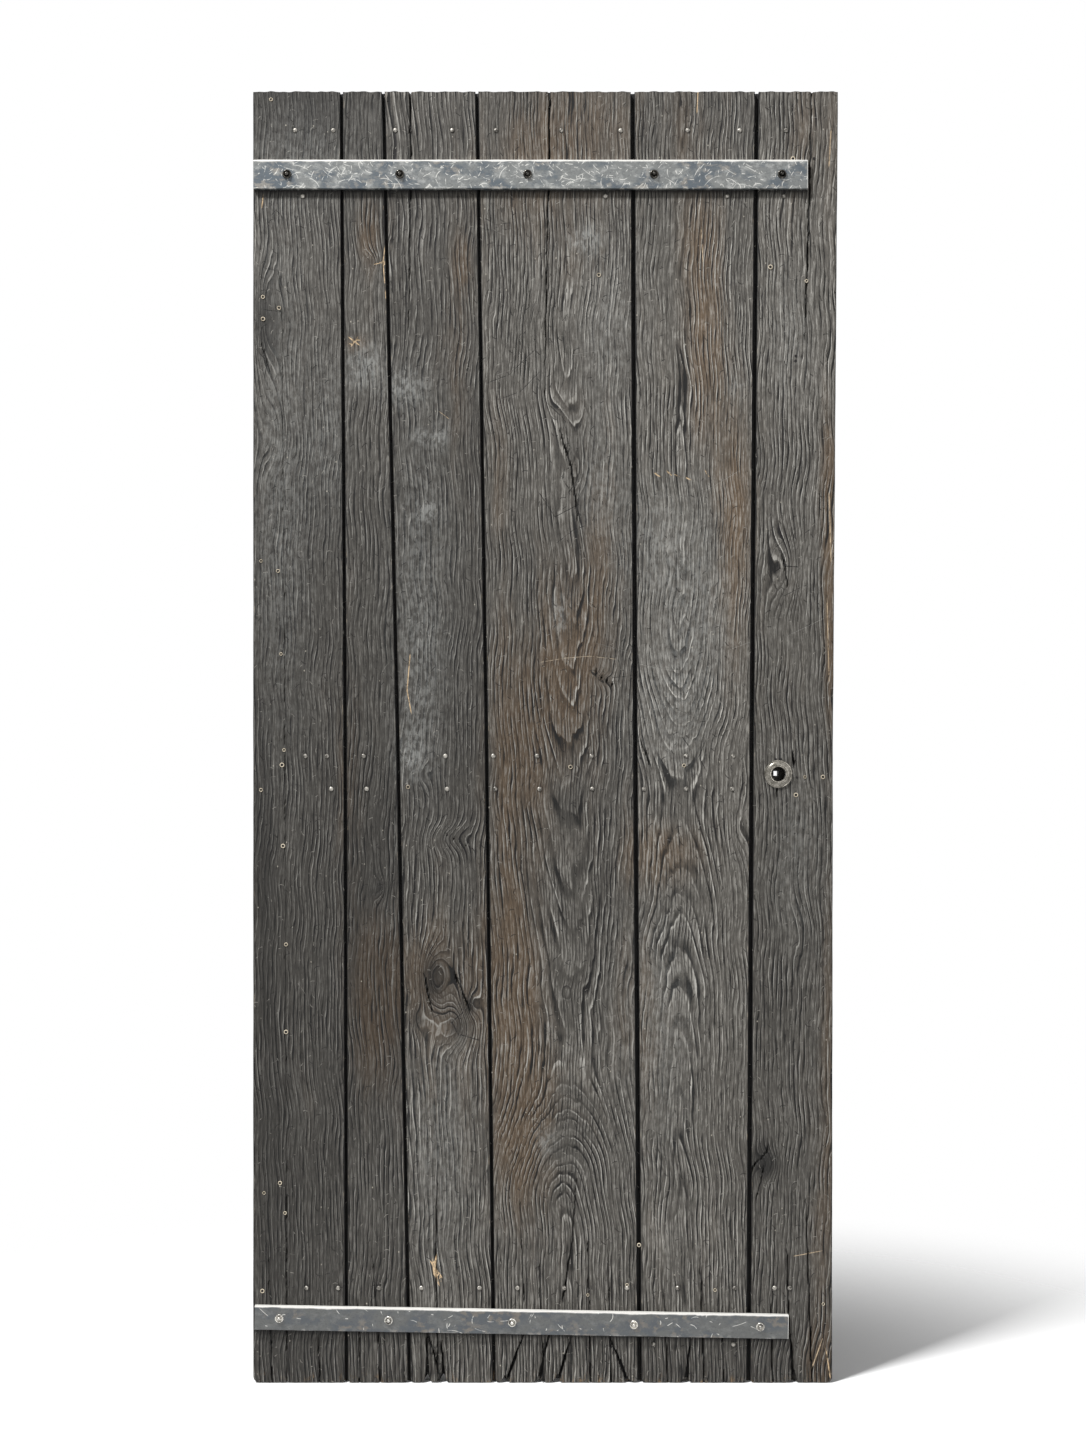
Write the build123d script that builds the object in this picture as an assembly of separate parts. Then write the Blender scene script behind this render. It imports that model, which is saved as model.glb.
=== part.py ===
from build123d import *
import math
import os

# An old ledged plank door leaf: six tapered tongued boards, three ledges nailed across the back, two flat
# straps bolted across the front, a round spindle rose and a rim latch on the back.
# Millimetres. X runs from the hinge edge to the latch edge, the front faces -Y, Z is up.
# The origin is the middle of the foot, in the boards' mid plane.

# Leaf and boards
LEAF_HEIGHT = 2040.0
LEAF_WIDTH = 925.0
BOARD_THICKNESS = 30.0
ARRIS = 1.2
MIDDLE_HEIGHT = 1015.0

# Each joint between two boards leans a little: its distance from the hinge edge at foot, middle and top
JOINT_1 = (148.0, 146.0, 140.0)
JOINT_2 = (247.5, 229.0, 206.0)
JOINT_3 = (381.0, 369.0, 354.0)
JOINT_4 = (611.0, 604.0, 600.0)
JOINT_5 = (783.0, 788.0, 796.0)
LATCH_EDGE_FOOT = 915.5
LATCH_EDGE_MIDDLE = 917.0
NARROW_GAP = 3.0
WIDE_GAP = 4.5

# Tongue on the right of each board, groove in the left of the next
TONGUE_THICKNESS = 8.0
TONGUE_BITE = 6.0
TONGUE_PLAY = 0.3
GROOVE_SPARE = 0.5

# Worn foot corners
FOOT_CORNER = 4.0
LEAF_FOOT_CORNER = 9.0

# Shakes: open splits that run in from a board's end, as board, place at the end, place and height of the tip
SPLIT_MOUTH = 3.6
SPLIT_TIP = 0.8
FOOT_SPLITS = (
    (3, 276.0, 275.0, 78.0),
    (3, 302.0, 298.0, 62.0),
    (4, 398.5, 428.0, 76.0),
    (4, 451.0, 467.0, 74.0),
    (4, 480.0, 503.0, 72.0),
    (4, 594.0, 564.0, 72.0),
    (5, 684.0, 691.0, 66.0),
    (6, 855.0, 848.0, 82.0),
)
HEAD_SPLIT = (4, 469.0, 468.0, 110.0)

# Ledges across the back
LEDGE_THICKNESS = 30.0
LEDGE_BEVEL = 5.0
LEDGE_INSET = 20.0
TOP_LEDGE_HEIGHT = 143.0
TOP_LEDGE_DROP = 113.5
MIDDLE_LEDGE_HEIGHT = 95.0
MIDDLE_LEDGE_RISE = 2.9
MIDDLE_LEDGE_END = 772.0
BOTTOM_LEDGE_HEIGHT = 122.0
BOTTOM_LEDGE_LEVEL = 106.0

# Straps across the front: start and end from the hinge edge, centre line below the ledge's at the start
STRAP_THICKNESS = 8.0
STRAP_EDGE = 0.8
TOP_STRAP_START = 2.0
TOP_STRAP_END = 875.5
TOP_STRAP_HEIGHT = 46.0
TOP_STRAP_BELOW_LEDGE = 19.9
TOP_STRAP_DROOP = 0.0
BOTTOM_STRAP_START = 4.0
BOTTOM_STRAP_END = 845.0
BOTTOM_STRAP_HEIGHT = 38.0
BOTTOM_STRAP_BELOW_LEDGE = 0.8
BOTTOM_STRAP_DROOP = 1.0

# Strap bolts: a collar with the worn shank end standing out of it, a square shank through strap, board and
# ledge, and a round threaded end with a square washer and a nut. Small fasteners keep to a few flat sides.
TOP_BOLT_PLACES = (55.0, 232.7, 434.2, 633.5, 834.8)
BOTTOM_BOLT_PLACES = (43.0, 215.2, 409.8, 601.5, 800.6)
FASTENER_SIDES = 10
SHANK_SIDE = 7.6
SHANK_PLAY = 0.2
THREAD_RADIUS = 4.0
THREAD_PLAY = 0.05
COLLAR_RADIUS = 6.4
COLLAR_TOP_RADIUS = 4.8
COLLAR_HEIGHT = 3.2
NUB_RADIUS = 3.4
NUB_TOP_RADIUS = 2.2
NUB_HEIGHT = 3.4
WASHER_SIDE = 24.0
WASHER_THICKNESS = 3.0
NUT_ACROSS_FLATS = 13.0
NUT_HEIGHT = 6.5
BOLT_PROUD = 3.0

# Ledge nails: places from the hinge edge for each row, and how far the row lies from its ledge's centre line
NAIL_HEAD_RADIUS = 3.4
NAIL_HEAD_TOP_RADIUS = 2.0
NAIL_HEAD_HEIGHT = 1.3
NAIL_HEAD_SIDES = 6
NAIL_SHANK = 3.2
NAIL_CLINCH = 11.0
NAIL_CLINCH_THICKNESS = 1.6
NAIL_PLAY = 0.05
TOP_NAILS = (67, 127, 225, 315, 384, 487, 581, 687, 769, 842)
TOP_NAILS_OFFSET = 51.5
UNDER_STRAP_NAILS = (79, 557, 749, 838)
UNDER_STRAP_NAILS_OFFSET = -52.5
MIDDLE_UPPER_NAILS = (83, 117, 175, 304, 380, 449, 535, 684, 759)
MIDDLE_UPPER_NAILS_OFFSET = 25.5
MIDDLE_LOWER_NAILS = (124, 180, 307, 383, 453, 536, 618, 684, 757)
MIDDLE_LOWER_NAILS_OFFSET = -26.5
BOTTOM_UPPER_NAILS = (85, 135, 199, 266, 358, 418, 492, 591, 671, 761, 824, 848)
BOTTOM_UPPER_NAILS_OFFSET = 44.0
BOTTOM_LOWER_NAILS = (633, 759)
BOTTOM_LOWER_NAILS_OFFSET = -45.0

# Round rose over the spindle hole, with a sleeve that lines the hole. The spindle's height is a standard one,
# and the middle ledge keeps close above it.
SPINDLE_PLACE = 829.8
SPINDLE_LEVEL = 961.6
ROSE_RADIUS = 22.0
ROSE_RIM = 1.2
ROSE_CROWN = 4.2
ROSE_DOME_RADIUS = 12.0
ROSE_LIP_RADIUS = 13.6
ROSE_LIP_HEIGHT = 5.6
ROSE_BORE_RADIUS = 11.5
SLEEVE_WALL = 0.9
SLEEVE_LENGTH = 14.0
SLEEVE_PLAY = 0.1

# Rim latch on the back
CASE_LENGTH = 122.0
CASE_SETBACK = 14.0
CASE_DEPTH = 24.0
CASE_WALL = 2.0
CASE_BELOW_SPINDLE = 30.0
CASE_ABOVE_SPINDLE = 50.0
EAR_HEIGHT = 14.0
SCREW_PLACES = (22.0, 110.0)
SCREW_RADIUS = 2.0
SCREW_HEAD_RADIUS = 4.4
SCREW_HEAD_TOP_RADIUS = 2.6
SCREW_HEAD_HEIGHT = 2.6
SCREW_LENGTH = 21.0
SCREW_PLAY = 0.1
SCREW_HOLE_SPARE = 1.0
SCREW_SIDES = 8
PLATE_THICKNESS = 2.0
PLATE_PLAY = 0.3

# Follower hub, turned by the spindle, with a finger that draws the latch bolt back
HUB_RADIUS = 11.0
HUB_JOURNAL_RADIUS = 8.0
HUB_JOURNAL_PLAY = 0.1
HUB_END_PLAY = 0.3
HUB_PROUD = 0.4
SPINDLE_SIDE = 8.0
FINGER_SHAFT = 4.0
KNUCKLE_RADIUS = 3.0
FINGER_THICKNESS = 6.0
FINGER_SWING = 17.5
LATCH_TRAVEL = 12.0

# Latch bolt: bevelled head, notched bar and a thin tail
BOLT_HEAD_HEIGHT = 18.0
BOLT_HEAD_THICKNESS = 14.0
BOLT_HEAD_LENGTH = 26.0
BOLT_HEAD_NOSE = 2.0
BOLT_BAR_HEIGHT = 14.0
BOLT_BAR_THICKNESS = 10.0
BOLT_ABOVE_SPINDLE = 24.0
BAR_STANDOFF = 4.0
BAR_BEHIND_SPINDLE = 3.8
NOTCH_PLAY = 0.4
NOTCH_ROOF = 0.6
TAIL_SIDE = 6.0
TAIL_LENGTH = 30.0
GUIDE_PLAY = 0.3
LUG_THICKNESS = 2.0
LUG_PLACE = 19.0
LUG_HEIGHT = 26.0
LUG_PROUD = 2.0

# Leaf spring that pushes the latch bolt out
SPRING_THICKNESS = 0.8
SPRING_WIDTH = 8.0
SPRING_BOW = 4.0
SPRING_BLOCK = 8.0
SPRING_BLOCK_PLACE = 12.0
SPRING_SEAT_PLAY = 0.3
SPRING_FOOT_RISE = 2.0
SPRING_TIP_DROP = 1.0

FRONT = -BOARD_THICKNESS / 2
BACK = BOARD_THICKNESS / 2
LEDGE_BACK = BACK + LEDGE_THICKNESS
STRAP_FRONT = FRONT - STRAP_THICKNESS
HINGE_LINE = (0.0, 0.0, 0.0)
LATCH_LINE = (LATCH_EDGE_FOOT, LATCH_EDGE_MIDDLE, LEAF_WIDTH)
JOINTS = (JOINT_1, JOINT_2, JOINT_3, JOINT_4, JOINT_5)
GAPS = (NARROW_GAP, NARROW_GAP, NARROW_GAP, WIDE_GAP, WIDE_GAP)
TOP_LEDGE_LEVEL = LEAF_HEIGHT - TOP_LEDGE_DROP
MIDDLE_LEDGE_LEVEL = SPINDLE_LEVEL + MIDDLE_LEDGE_RISE
TOP_STRAP_LEVEL = TOP_LEDGE_LEVEL - TOP_STRAP_BELOW_LEDGE
BOTTOM_STRAP_LEVEL = BOTTOM_LEDGE_LEVEL - BOTTOM_STRAP_BELOW_LEDGE
THROUGH = 500.0


def across(place):
    """X of a place that is measured from the hinge edge."""
    return place - LEAF_WIDTH / 2


def shifted(line, by):
    return tuple(place + by for place in line)


def band(left, right, low=0.0, high=LEAF_HEIGHT):
    """Face between two leaning lines, in the XZ plane."""
    points = [
        (across(left[0]), low),
        (across(right[0]), low),
        (across(right[1]), MIDDLE_HEIGHT),
        (across(right[2]), high),
        (across(left[2]), high),
        (across(left[1]), MIDDLE_HEIGHT),
    ]
    return make_face(Plane.XZ * Polyline(*points, close=True))


def block(x, y, z):
    """Box from three (low, high) pairs."""
    centre = ((x[0] + x[1]) / 2, (y[0] + y[1]) / 2, (z[0] + z[1]) / 2)
    return Pos(*centre) * Box(x[1] - x[0], y[1] - y[0], z[1] - z[0])


def rod(radius, y, place, level):
    """Cylinder along Y from y[0] to y[1]."""
    centre = Pos(across(place), (y[0] + y[1]) / 2, level)
    return centre * Rot(90, 0, 0) * Cylinder(radius, y[1] - y[0])


def post(side, y, place, level):
    """Square bar along Y from y[0] to y[1]."""
    x = across(place)
    return block((x - side / 2, x + side / 2), y, (level - side / 2, level + side / 2))


def polygon(radius, sides, y):
    """Regular polygon that faces along Y."""
    return Plane.XZ.offset(-y) * RegularPolygon(radius, sides)


def stub(radius, y, place, level, end_radius=None, sides=FASTENER_SIDES):
    """Many-sided bar along Y, straight or tapered to its end radius."""
    end = polygon(radius if end_radius is None else end_radius, sides, y[1])
    return Pos(across(place), 0, level) * loft([polygon(radius, sides, y[0]), end])


def board_lines(number):
    """Left and right edge lines of a board, at the joints' gaps."""
    left = HINGE_LINE if number == 1 else shifted(JOINTS[number - 2], GAPS[number - 2] / 2)
    right = LATCH_LINE if number == 6 else shifted(JOINTS[number - 1], -GAPS[number - 1] / 2)
    return left, right


def board_blank(number):
    """One board with its worn foot corners and broken arrises. The leaf's own two corners are rounded."""
    left, right = board_lines(number)
    outline = band(left, right)
    for line, leaf_corner in ((left, number == 1), (right, number == 6)):
        corner = outline.vertices().sort_by_distance((across(line[0]), 0, 0))[0]
        outline = fillet(corner, LEAF_FOOT_CORNER) if leaf_corner else chamfer(corner, FOOT_CORNER)
    solid = extrude(outline, BOARD_THICKNESS / 2, both=True)
    front_face = solid.faces().sort_by(Axis.Y)[0]
    return chamfer(front_face.edges(), ARRIS)


def tongue(number):
    """Tongue on the right of a board, from inside the board to its tip."""
    right = board_lines(number)[1]
    reach = GAPS[number - 1] + TONGUE_BITE
    face = band(shifted(right, -TONGUE_BITE), shifted(right, reach))
    return extrude(face, TONGUE_THICKNESS / 2, both=True)


def groove(number):
    """Room for the tongue in the left of a board."""
    left = board_lines(number)[0]
    face = band(shifted(left, -TONGUE_BITE), shifted(left, TONGUE_BITE + GROOVE_SPARE), -1, LEAF_HEIGHT + 1)
    return extrude(face, TONGUE_THICKNESS / 2 + TONGUE_PLAY, both=True)


def wedge(mouth, tip, end_level, tip_level):
    """Open split through a board, wide at the board's end and nearly shut at its tip."""
    points = [
        (across(mouth) - SPLIT_MOUTH / 2, end_level),
        (across(mouth) + SPLIT_MOUTH / 2, end_level),
        (across(tip) + SPLIT_TIP / 2, tip_level),
        (across(tip) - SPLIT_TIP / 2, tip_level),
    ]
    return extrude(make_face(Plane.XZ * Polyline(*points, close=True)), BOARD_THICKNESS, both=True)


def splits(number):
    cuts = [wedge(mouth, tip, -1, level) for board, mouth, tip, level in FOOT_SPLITS if board == number]
    if HEAD_SPLIT[0] == number:
        length = HEAD_SPLIT[3]
        cuts.append(wedge(HEAD_SPLIT[1], HEAD_SPLIT[2], LEAF_HEIGHT + 1, LEAF_HEIGHT - length))
    return cuts


def on_centre_line(places, start, level, droop):
    """Places along a strap, each with the level of the strap's centre line there."""
    slope = math.tan(math.radians(droop))
    return [(place, level - (place - start) * slope) for place in places]


def bolt_places():
    """Place and level of every strap bolt, on the centre line of its strap."""
    top = on_centre_line(TOP_BOLT_PLACES, TOP_STRAP_START, TOP_STRAP_LEVEL, TOP_STRAP_DROOP)
    bottom = on_centre_line(BOTTOM_BOLT_PLACES, BOTTOM_STRAP_START, BOTTOM_STRAP_LEVEL, BOTTOM_STRAP_DROOP)
    return top, bottom


def bolt_holes():
    top, bottom = bolt_places()
    return [post(SHANK_SIDE + 2 * SHANK_PLAY, (-THROUGH, THROUGH), *place) for place in top + bottom]


def row(places, ledge_level, offset):
    return [(place, ledge_level + offset) for place in places]


def nail_rows():
    """Place and level of every ledge nail, by ledge."""
    top = row(TOP_NAILS, TOP_LEDGE_LEVEL, TOP_NAILS_OFFSET)
    under_strap = row(UNDER_STRAP_NAILS, TOP_LEDGE_LEVEL, UNDER_STRAP_NAILS_OFFSET)
    upper = row(MIDDLE_UPPER_NAILS, MIDDLE_LEDGE_LEVEL, MIDDLE_UPPER_NAILS_OFFSET)
    lower = row(MIDDLE_LOWER_NAILS, MIDDLE_LEDGE_LEVEL, MIDDLE_LOWER_NAILS_OFFSET)
    foot_upper = row(BOTTOM_UPPER_NAILS, BOTTOM_LEDGE_LEVEL, BOTTOM_UPPER_NAILS_OFFSET)
    foot_lower = row(BOTTOM_LOWER_NAILS, BOTTOM_LEDGE_LEVEL, BOTTOM_LOWER_NAILS_OFFSET)
    return {"top": top + under_strap, "middle": upper + lower, "bottom": foot_upper + foot_lower}


def nail_holes():
    side = NAIL_SHANK + 2 * NAIL_PLAY
    return [post(side, (-THROUGH, THROUGH), *place) for places in nail_rows().values() for place in places]


def near(solid, cutters):
    """The cutters whose boxes meet a solid's box."""
    box = solid.bounding_box()
    found = []
    for cutter in cutters:
        other = cutter.bounding_box()
        if other.min.X < box.max.X and other.max.X > box.min.X:
            if other.min.Z < box.max.Z and other.max.Z > box.min.Z:
                found.append(cutter)
    return found


def cut_all(solid, cutters):
    found = near(solid, cutters)
    return solid - found if found else solid


def board(number, holes):
    solid = board_blank(number)
    if number < 6:
        solid = solid + tongue(number)
    if number > 1:
        solid = solid - groove(number)
    solid = cut_all(solid, splits(number) + holes)
    if number == 6:
        radius = ROSE_BORE_RADIUS + SLEEVE_WALL + SLEEVE_PLAY
        solid = solid - rod(radius, (-THROUGH, THROUGH), SPINDLE_PLACE, SPINDLE_LEVEL)
        solid = solid - [screw_hole(*place) for place in screw_places()]
    return solid


def ledge(start, end, level, height, holes):
    """Board across the back with its back edges bevelled."""
    solid = block((across(start), across(end)), (BACK, LEDGE_BACK), (level - height / 2, level + height / 2))
    back_face = solid.faces().sort_by(Axis.Y)[-1]
    solid = chamfer(back_face.edges(), LEDGE_BEVEL)
    return cut_all(solid, holes)


def strap(start, end, level, height, droop, holes):
    """Flat bar across the front, hung from its start, with its front edges broken."""
    length = (end - start) / math.cos(math.radians(droop))
    bar = block((0, length), (STRAP_FRONT, FRONT), (-height / 2, height / 2))
    front_face = bar.faces().sort_by(Axis.Y)[0]
    bar = chamfer(front_face.edges(), STRAP_EDGE)
    return cut_all(Pos(across(start), 0, level) * Rot(0, droop, 0) * bar, holes)


def strap_bolt(place, level):
    """Collar and nub in front of the strap, square shank through the door, threaded end behind."""
    collar = STRAP_FRONT - COLLAR_HEIGHT
    shank_end = LEDGE_BACK + WASHER_THICKNESS
    end = shank_end + NUT_HEIGHT + BOLT_PROUD
    solid = stub(COLLAR_RADIUS, (STRAP_FRONT, collar), place, level, COLLAR_TOP_RADIUS)
    solid = solid + stub(NUB_RADIUS, (collar, collar - NUB_HEIGHT), place, level, NUB_TOP_RADIUS)
    solid = solid + post(SHANK_SIDE, (STRAP_FRONT, shank_end), place, level)
    return solid + stub(THREAD_RADIUS, (shank_end, end), place, level)


def washer(place, level):
    """Square plate that spreads the nut's load on the ledge."""
    y = (LEDGE_BACK, LEDGE_BACK + WASHER_THICKNESS)
    return post(WASHER_SIDE, y, place, level) - post(SHANK_SIDE + 2 * SHANK_PLAY, (0, THROUGH), place, level)


def nut(place, level):
    start = LEDGE_BACK + WASHER_THICKNESS
    corner = NUT_ACROSS_FLATS / math.sqrt(3)
    prism = stub(corner, (start, start + NUT_HEIGHT), place, level, sides=6)
    return prism - stub(THREAD_RADIUS + THREAD_PLAY, (start - 1, start + NUT_HEIGHT + 1), place, level)


def nail(place, level):
    """Hand made nail: faceted head, square shank, tip clinched down over the ledge."""
    end = LEDGE_BACK + NAIL_CLINCH_THICKNESS
    head_y = (FRONT, FRONT - NAIL_HEAD_HEIGHT)
    head = stub(NAIL_HEAD_RADIUS, head_y, place, level, NAIL_HEAD_TOP_RADIUS, NAIL_HEAD_SIDES)
    shank = post(NAIL_SHANK, (FRONT, end), place, level)
    half = NAIL_SHANK / 2
    x = across(place)
    tip = block((x - half, x + half), (LEDGE_BACK, end), (level + half - NAIL_CLINCH, level + half))
    return head + shank + tip


def rose():
    """Domed ring with a raised lip and a sleeve that lines the board's hole."""
    sleeve = ROSE_BORE_RADIUS + SLEEVE_WALL
    rim = (ROSE_RADIUS, FRONT - ROSE_RIM)
    crown = (ROSE_LIP_RADIUS, FRONT - ROSE_CROWN)
    dome = RadiusArc(rim, crown, -ROSE_DOME_RADIUS)
    outline = dome + Polyline(
        crown,
        (ROSE_LIP_RADIUS, FRONT - ROSE_LIP_HEIGHT),
        (ROSE_BORE_RADIUS, FRONT - ROSE_LIP_HEIGHT),
        (ROSE_BORE_RADIUS, FRONT + SLEEVE_LENGTH),
        (sleeve, FRONT + SLEEVE_LENGTH),
        (sleeve, FRONT),
        (ROSE_RADIUS, FRONT),
        rim,
    )
    ring = revolve(make_face(outline), Axis.Y, 360)
    return Pos(across(SPINDLE_PLACE), 0, SPINDLE_LEVEL) * ring


def edge_at(level):
    """Distance of the latch edge from the hinge edge at a level below the middle."""
    share = level / MIDDLE_HEIGHT
    return LATCH_EDGE_FOOT + (LATCH_EDGE_MIDDLE - LATCH_EDGE_FOOT) * share


CASE_END = edge_at(SPINDLE_LEVEL) - CASE_SETBACK
CASE_START = CASE_END - CASE_LENGTH
CASE_BACK = BACK + CASE_DEPTH
CASE_LOW = SPINDLE_LEVEL - CASE_BELOW_SPINDLE
CASE_HIGH = SPINDLE_LEVEL + CASE_ABOVE_SPINDLE
PLATE_BACK = BACK + PLATE_THICKNESS
LATCH_LEVEL = SPINDLE_LEVEL + BOLT_ABOVE_SPINDLE
BAR_FRONT = PLATE_BACK + BAR_STANDOFF
FINGER_RADIUS = LATCH_TRAVEL / 2 / math.sin(math.radians(FINGER_SWING))
NOTCH_PLACE = SPINDLE_PLACE + LATCH_TRAVEL / 2
BAR_START = SPINDLE_PLACE - BAR_BEHIND_SPINDLE


def screw_places():
    levels = (CASE_LOW - EAR_HEIGHT / 2, CASE_HIGH + EAR_HEIGHT / 2)
    return [(CASE_START + place, level) for place in SCREW_PLACES for level in levels]


def screw_hole(place, level):
    y = (BACK - SCREW_LENGTH - SCREW_HOLE_SPARE, CASE_BACK)
    return stub(SCREW_RADIUS + SCREW_PLAY, y, place, level, sides=SCREW_SIDES)


def latch_case():
    """Pressed case, open towards the door, with an ear along its top and bottom."""
    x = (across(CASE_START), across(CASE_END))
    solid = block(x, (BACK, CASE_BACK), (CASE_LOW, CASE_HIGH))
    inner_x = (x[0] + CASE_WALL, x[1] - CASE_WALL)
    inner_z = (CASE_LOW + CASE_WALL, CASE_HIGH - CASE_WALL)
    ears = block(x, (BACK, BACK + CASE_WALL), (CASE_LOW - EAR_HEIGHT, CASE_HIGH + EAR_HEIGHT))
    solid = solid + ears - block(inner_x, (BACK - 1, CASE_BACK - CASE_WALL), inner_z)
    mouth = head_window(GUIDE_PLAY)
    journal = rod(HUB_JOURNAL_RADIUS + HUB_JOURNAL_PLAY, (BACK, THROUGH), SPINDLE_PLACE, SPINDLE_LEVEL)
    return solid - mouth - journal - [screw_hole(*place) for place in screw_places()]


def head_window(play):
    """Section of the latch bolt's head, carried through the case's front edge."""
    centre = BAR_FRONT + BOLT_BAR_THICKNESS / 2
    half_y = BOLT_HEAD_THICKNESS / 2 + play
    half_z = BOLT_HEAD_HEIGHT / 2 + play
    x = (across(CASE_END) - CASE_WALL - 1, across(CASE_END) + 1)
    return block(x, (centre - half_y, centre + half_y), (LATCH_LEVEL - half_z, LATCH_LEVEL + half_z))


def latch_plate():
    """Plate inside the case's mouth, with the tail's lug and the spring's block."""
    gap = CASE_WALL + PLATE_PLAY
    x = (across(CASE_START) + gap, across(CASE_END) - gap)
    solid = block(x, (BACK, PLATE_BACK), (CASE_LOW + gap, CASE_HIGH - gap))
    lug_x = across(CASE_START) + LUG_PLACE
    lug_y = (BACK, BAR_FRONT + BOLT_BAR_THICKNESS + LUG_PROUD)
    half = LUG_HEIGHT / 2
    solid = solid + block((lug_x, lug_x + LUG_THICKNESS), lug_y, (LATCH_LEVEL - half, LATCH_LEVEL + half))
    block_x = across(CASE_START) + SPRING_BLOCK_PLACE
    block_low = CASE_LOW + gap
    block_high = block_low + SPRING_BLOCK
    solid = solid + block((block_x, block_x + SPRING_BLOCK), lug_y, (block_low, block_high))
    journal = rod(HUB_JOURNAL_RADIUS + HUB_JOURNAL_PLAY, (0, THROUGH), SPINDLE_PLACE, SPINDLE_LEVEL)
    return solid - journal - tail(GUIDE_PLAY)


def tail(play=0.0):
    centre = BAR_FRONT + BOLT_BAR_THICKNESS / 2
    half = TAIL_SIDE / 2 + play
    x = (across(BAR_START) - TAIL_LENGTH, across(BAR_START))
    return block(x, (centre - half, centre + half), (LATCH_LEVEL - half, LATCH_LEVEL + half))


def latch_hub():
    """Follower with a square spindle hole, a journal at each end and a finger up to the bolt."""
    place = (SPINDLE_PLACE, SPINDLE_LEVEL)
    inner = (PLATE_BACK + HUB_END_PLAY, CASE_BACK - CASE_WALL - HUB_END_PLAY)
    outer = (BACK + HUB_END_PLAY, CASE_BACK + HUB_PROUD)
    solid = rod(HUB_RADIUS, inner, *place) + rod(HUB_JOURNAL_RADIUS, outer, *place)
    centre = BAR_FRONT + BOLT_BAR_THICKNESS / 2
    y = (centre - FINGER_THICKNESS / 2, centre + FINGER_THICKNESS / 2)
    half = FINGER_SHAFT / 2
    arm = block((-half, half), y, (0, FINGER_RADIUS))
    knuckle = Pos(0, centre, FINGER_RADIUS) * Rot(90, 0, 0) * Cylinder(KNUCKLE_RADIUS, FINGER_THICKNESS)
    finger = Pos(across(SPINDLE_PLACE), 0, SPINDLE_LEVEL) * Rot(0, FINGER_SWING, 0) * (arm + knuckle)
    side = SPINDLE_SIDE / 2
    x = across(SPINDLE_PLACE)
    square = block((x - side, x + side), (0, THROUGH), (SPINDLE_LEVEL - side, SPINDLE_LEVEL + side))
    return solid + finger - square


def latch_bolt():
    """Bevelled head out of the case, a bar with a notch for the finger, and a tail in the lug."""
    centre = BAR_FRONT + BOLT_BAR_THICKNESS / 2
    nose = across(CASE_END) + LATCH_TRAVEL
    head_start = across(CASE_END) - BOLT_HEAD_LENGTH
    low = LATCH_LEVEL - BOLT_HEAD_HEIGHT / 2
    front = centre - BOLT_HEAD_THICKNESS / 2
    back = centre + BOLT_HEAD_THICKNESS / 2
    outline = Polyline(
        (head_start, front),
        (nose, front),
        (nose, front + BOLT_HEAD_NOSE),
        (nose - LATCH_TRAVEL, back),
        (head_start, back),
        close=True,
    )
    head = Pos(0, 0, low) * extrude(make_face(outline), BOLT_HEAD_HEIGHT)
    half = BOLT_BAR_HEIGHT / 2
    bar_y = (BAR_FRONT, BAR_FRONT + BOLT_BAR_THICKNESS)
    bar = block((across(BAR_START), head_start + 1), bar_y, (LATCH_LEVEL - half, LATCH_LEVEL + half))
    notch_half = KNUCKLE_RADIUS + NOTCH_PLAY
    notch_x = across(NOTCH_PLACE)
    roof = SPINDLE_LEVEL + FINGER_RADIUS + KNUCKLE_RADIUS + NOTCH_ROOF
    notch = block((notch_x - notch_half, notch_x + notch_half), (0, THROUGH), (0, roof))
    return head + bar + tail() - notch


def latch_spring():
    """Bowed leaf from the block beside the hub up to the shoulder of the latch bolt."""
    gap = CASE_WALL + PLATE_PLAY
    block_end = across(CASE_START) + SPRING_BLOCK_PLACE + SPRING_BLOCK
    foot = (block_end + SPRING_SEAT_PLAY, CASE_LOW + gap + SPRING_FOOT_RISE)
    shoulder = across(BAR_START) - SPRING_THICKNESS
    tip = (shoulder - SPRING_SEAT_PLAY, LATCH_LEVEL - TAIL_SIDE / 2 - SPRING_TIP_DROP)
    middle = ((foot[0] + tip[0]) / 2 - SPRING_BOW, (foot[1] + tip[1]) / 2)
    centre = BAR_FRONT + BOLT_BAR_THICKNESS / 2
    near_side = ThreePointArc(foot, middle, tip)
    thick = SPRING_THICKNESS
    far_side = ThreePointArc((tip[0] + thick, tip[1]), (middle[0] + thick, middle[1]), (foot[0] + thick, foot[1]))
    ends = [Line(near_side @ 1, far_side @ 0), Line(far_side @ 1, near_side @ 0)]
    outline = make_face(Plane.XZ * (near_side + ends[0] + far_side + ends[1]))
    return Pos(0, centre, 0) * extrude(outline, SPRING_WIDTH / 2, both=True)


def latch_screw(place, level):
    head = BACK + CASE_WALL
    crown_y = (head, head + SCREW_HEAD_HEIGHT)
    crown = stub(SCREW_HEAD_RADIUS, crown_y, place, level, SCREW_HEAD_TOP_RADIUS, SCREW_SIDES)
    return crown + stub(SCREW_RADIUS, (head, BACK - SCREW_LENGTH), place, level, sides=SCREW_SIDES)


def group(solids):
    return Compound(children=list(solids))


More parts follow.
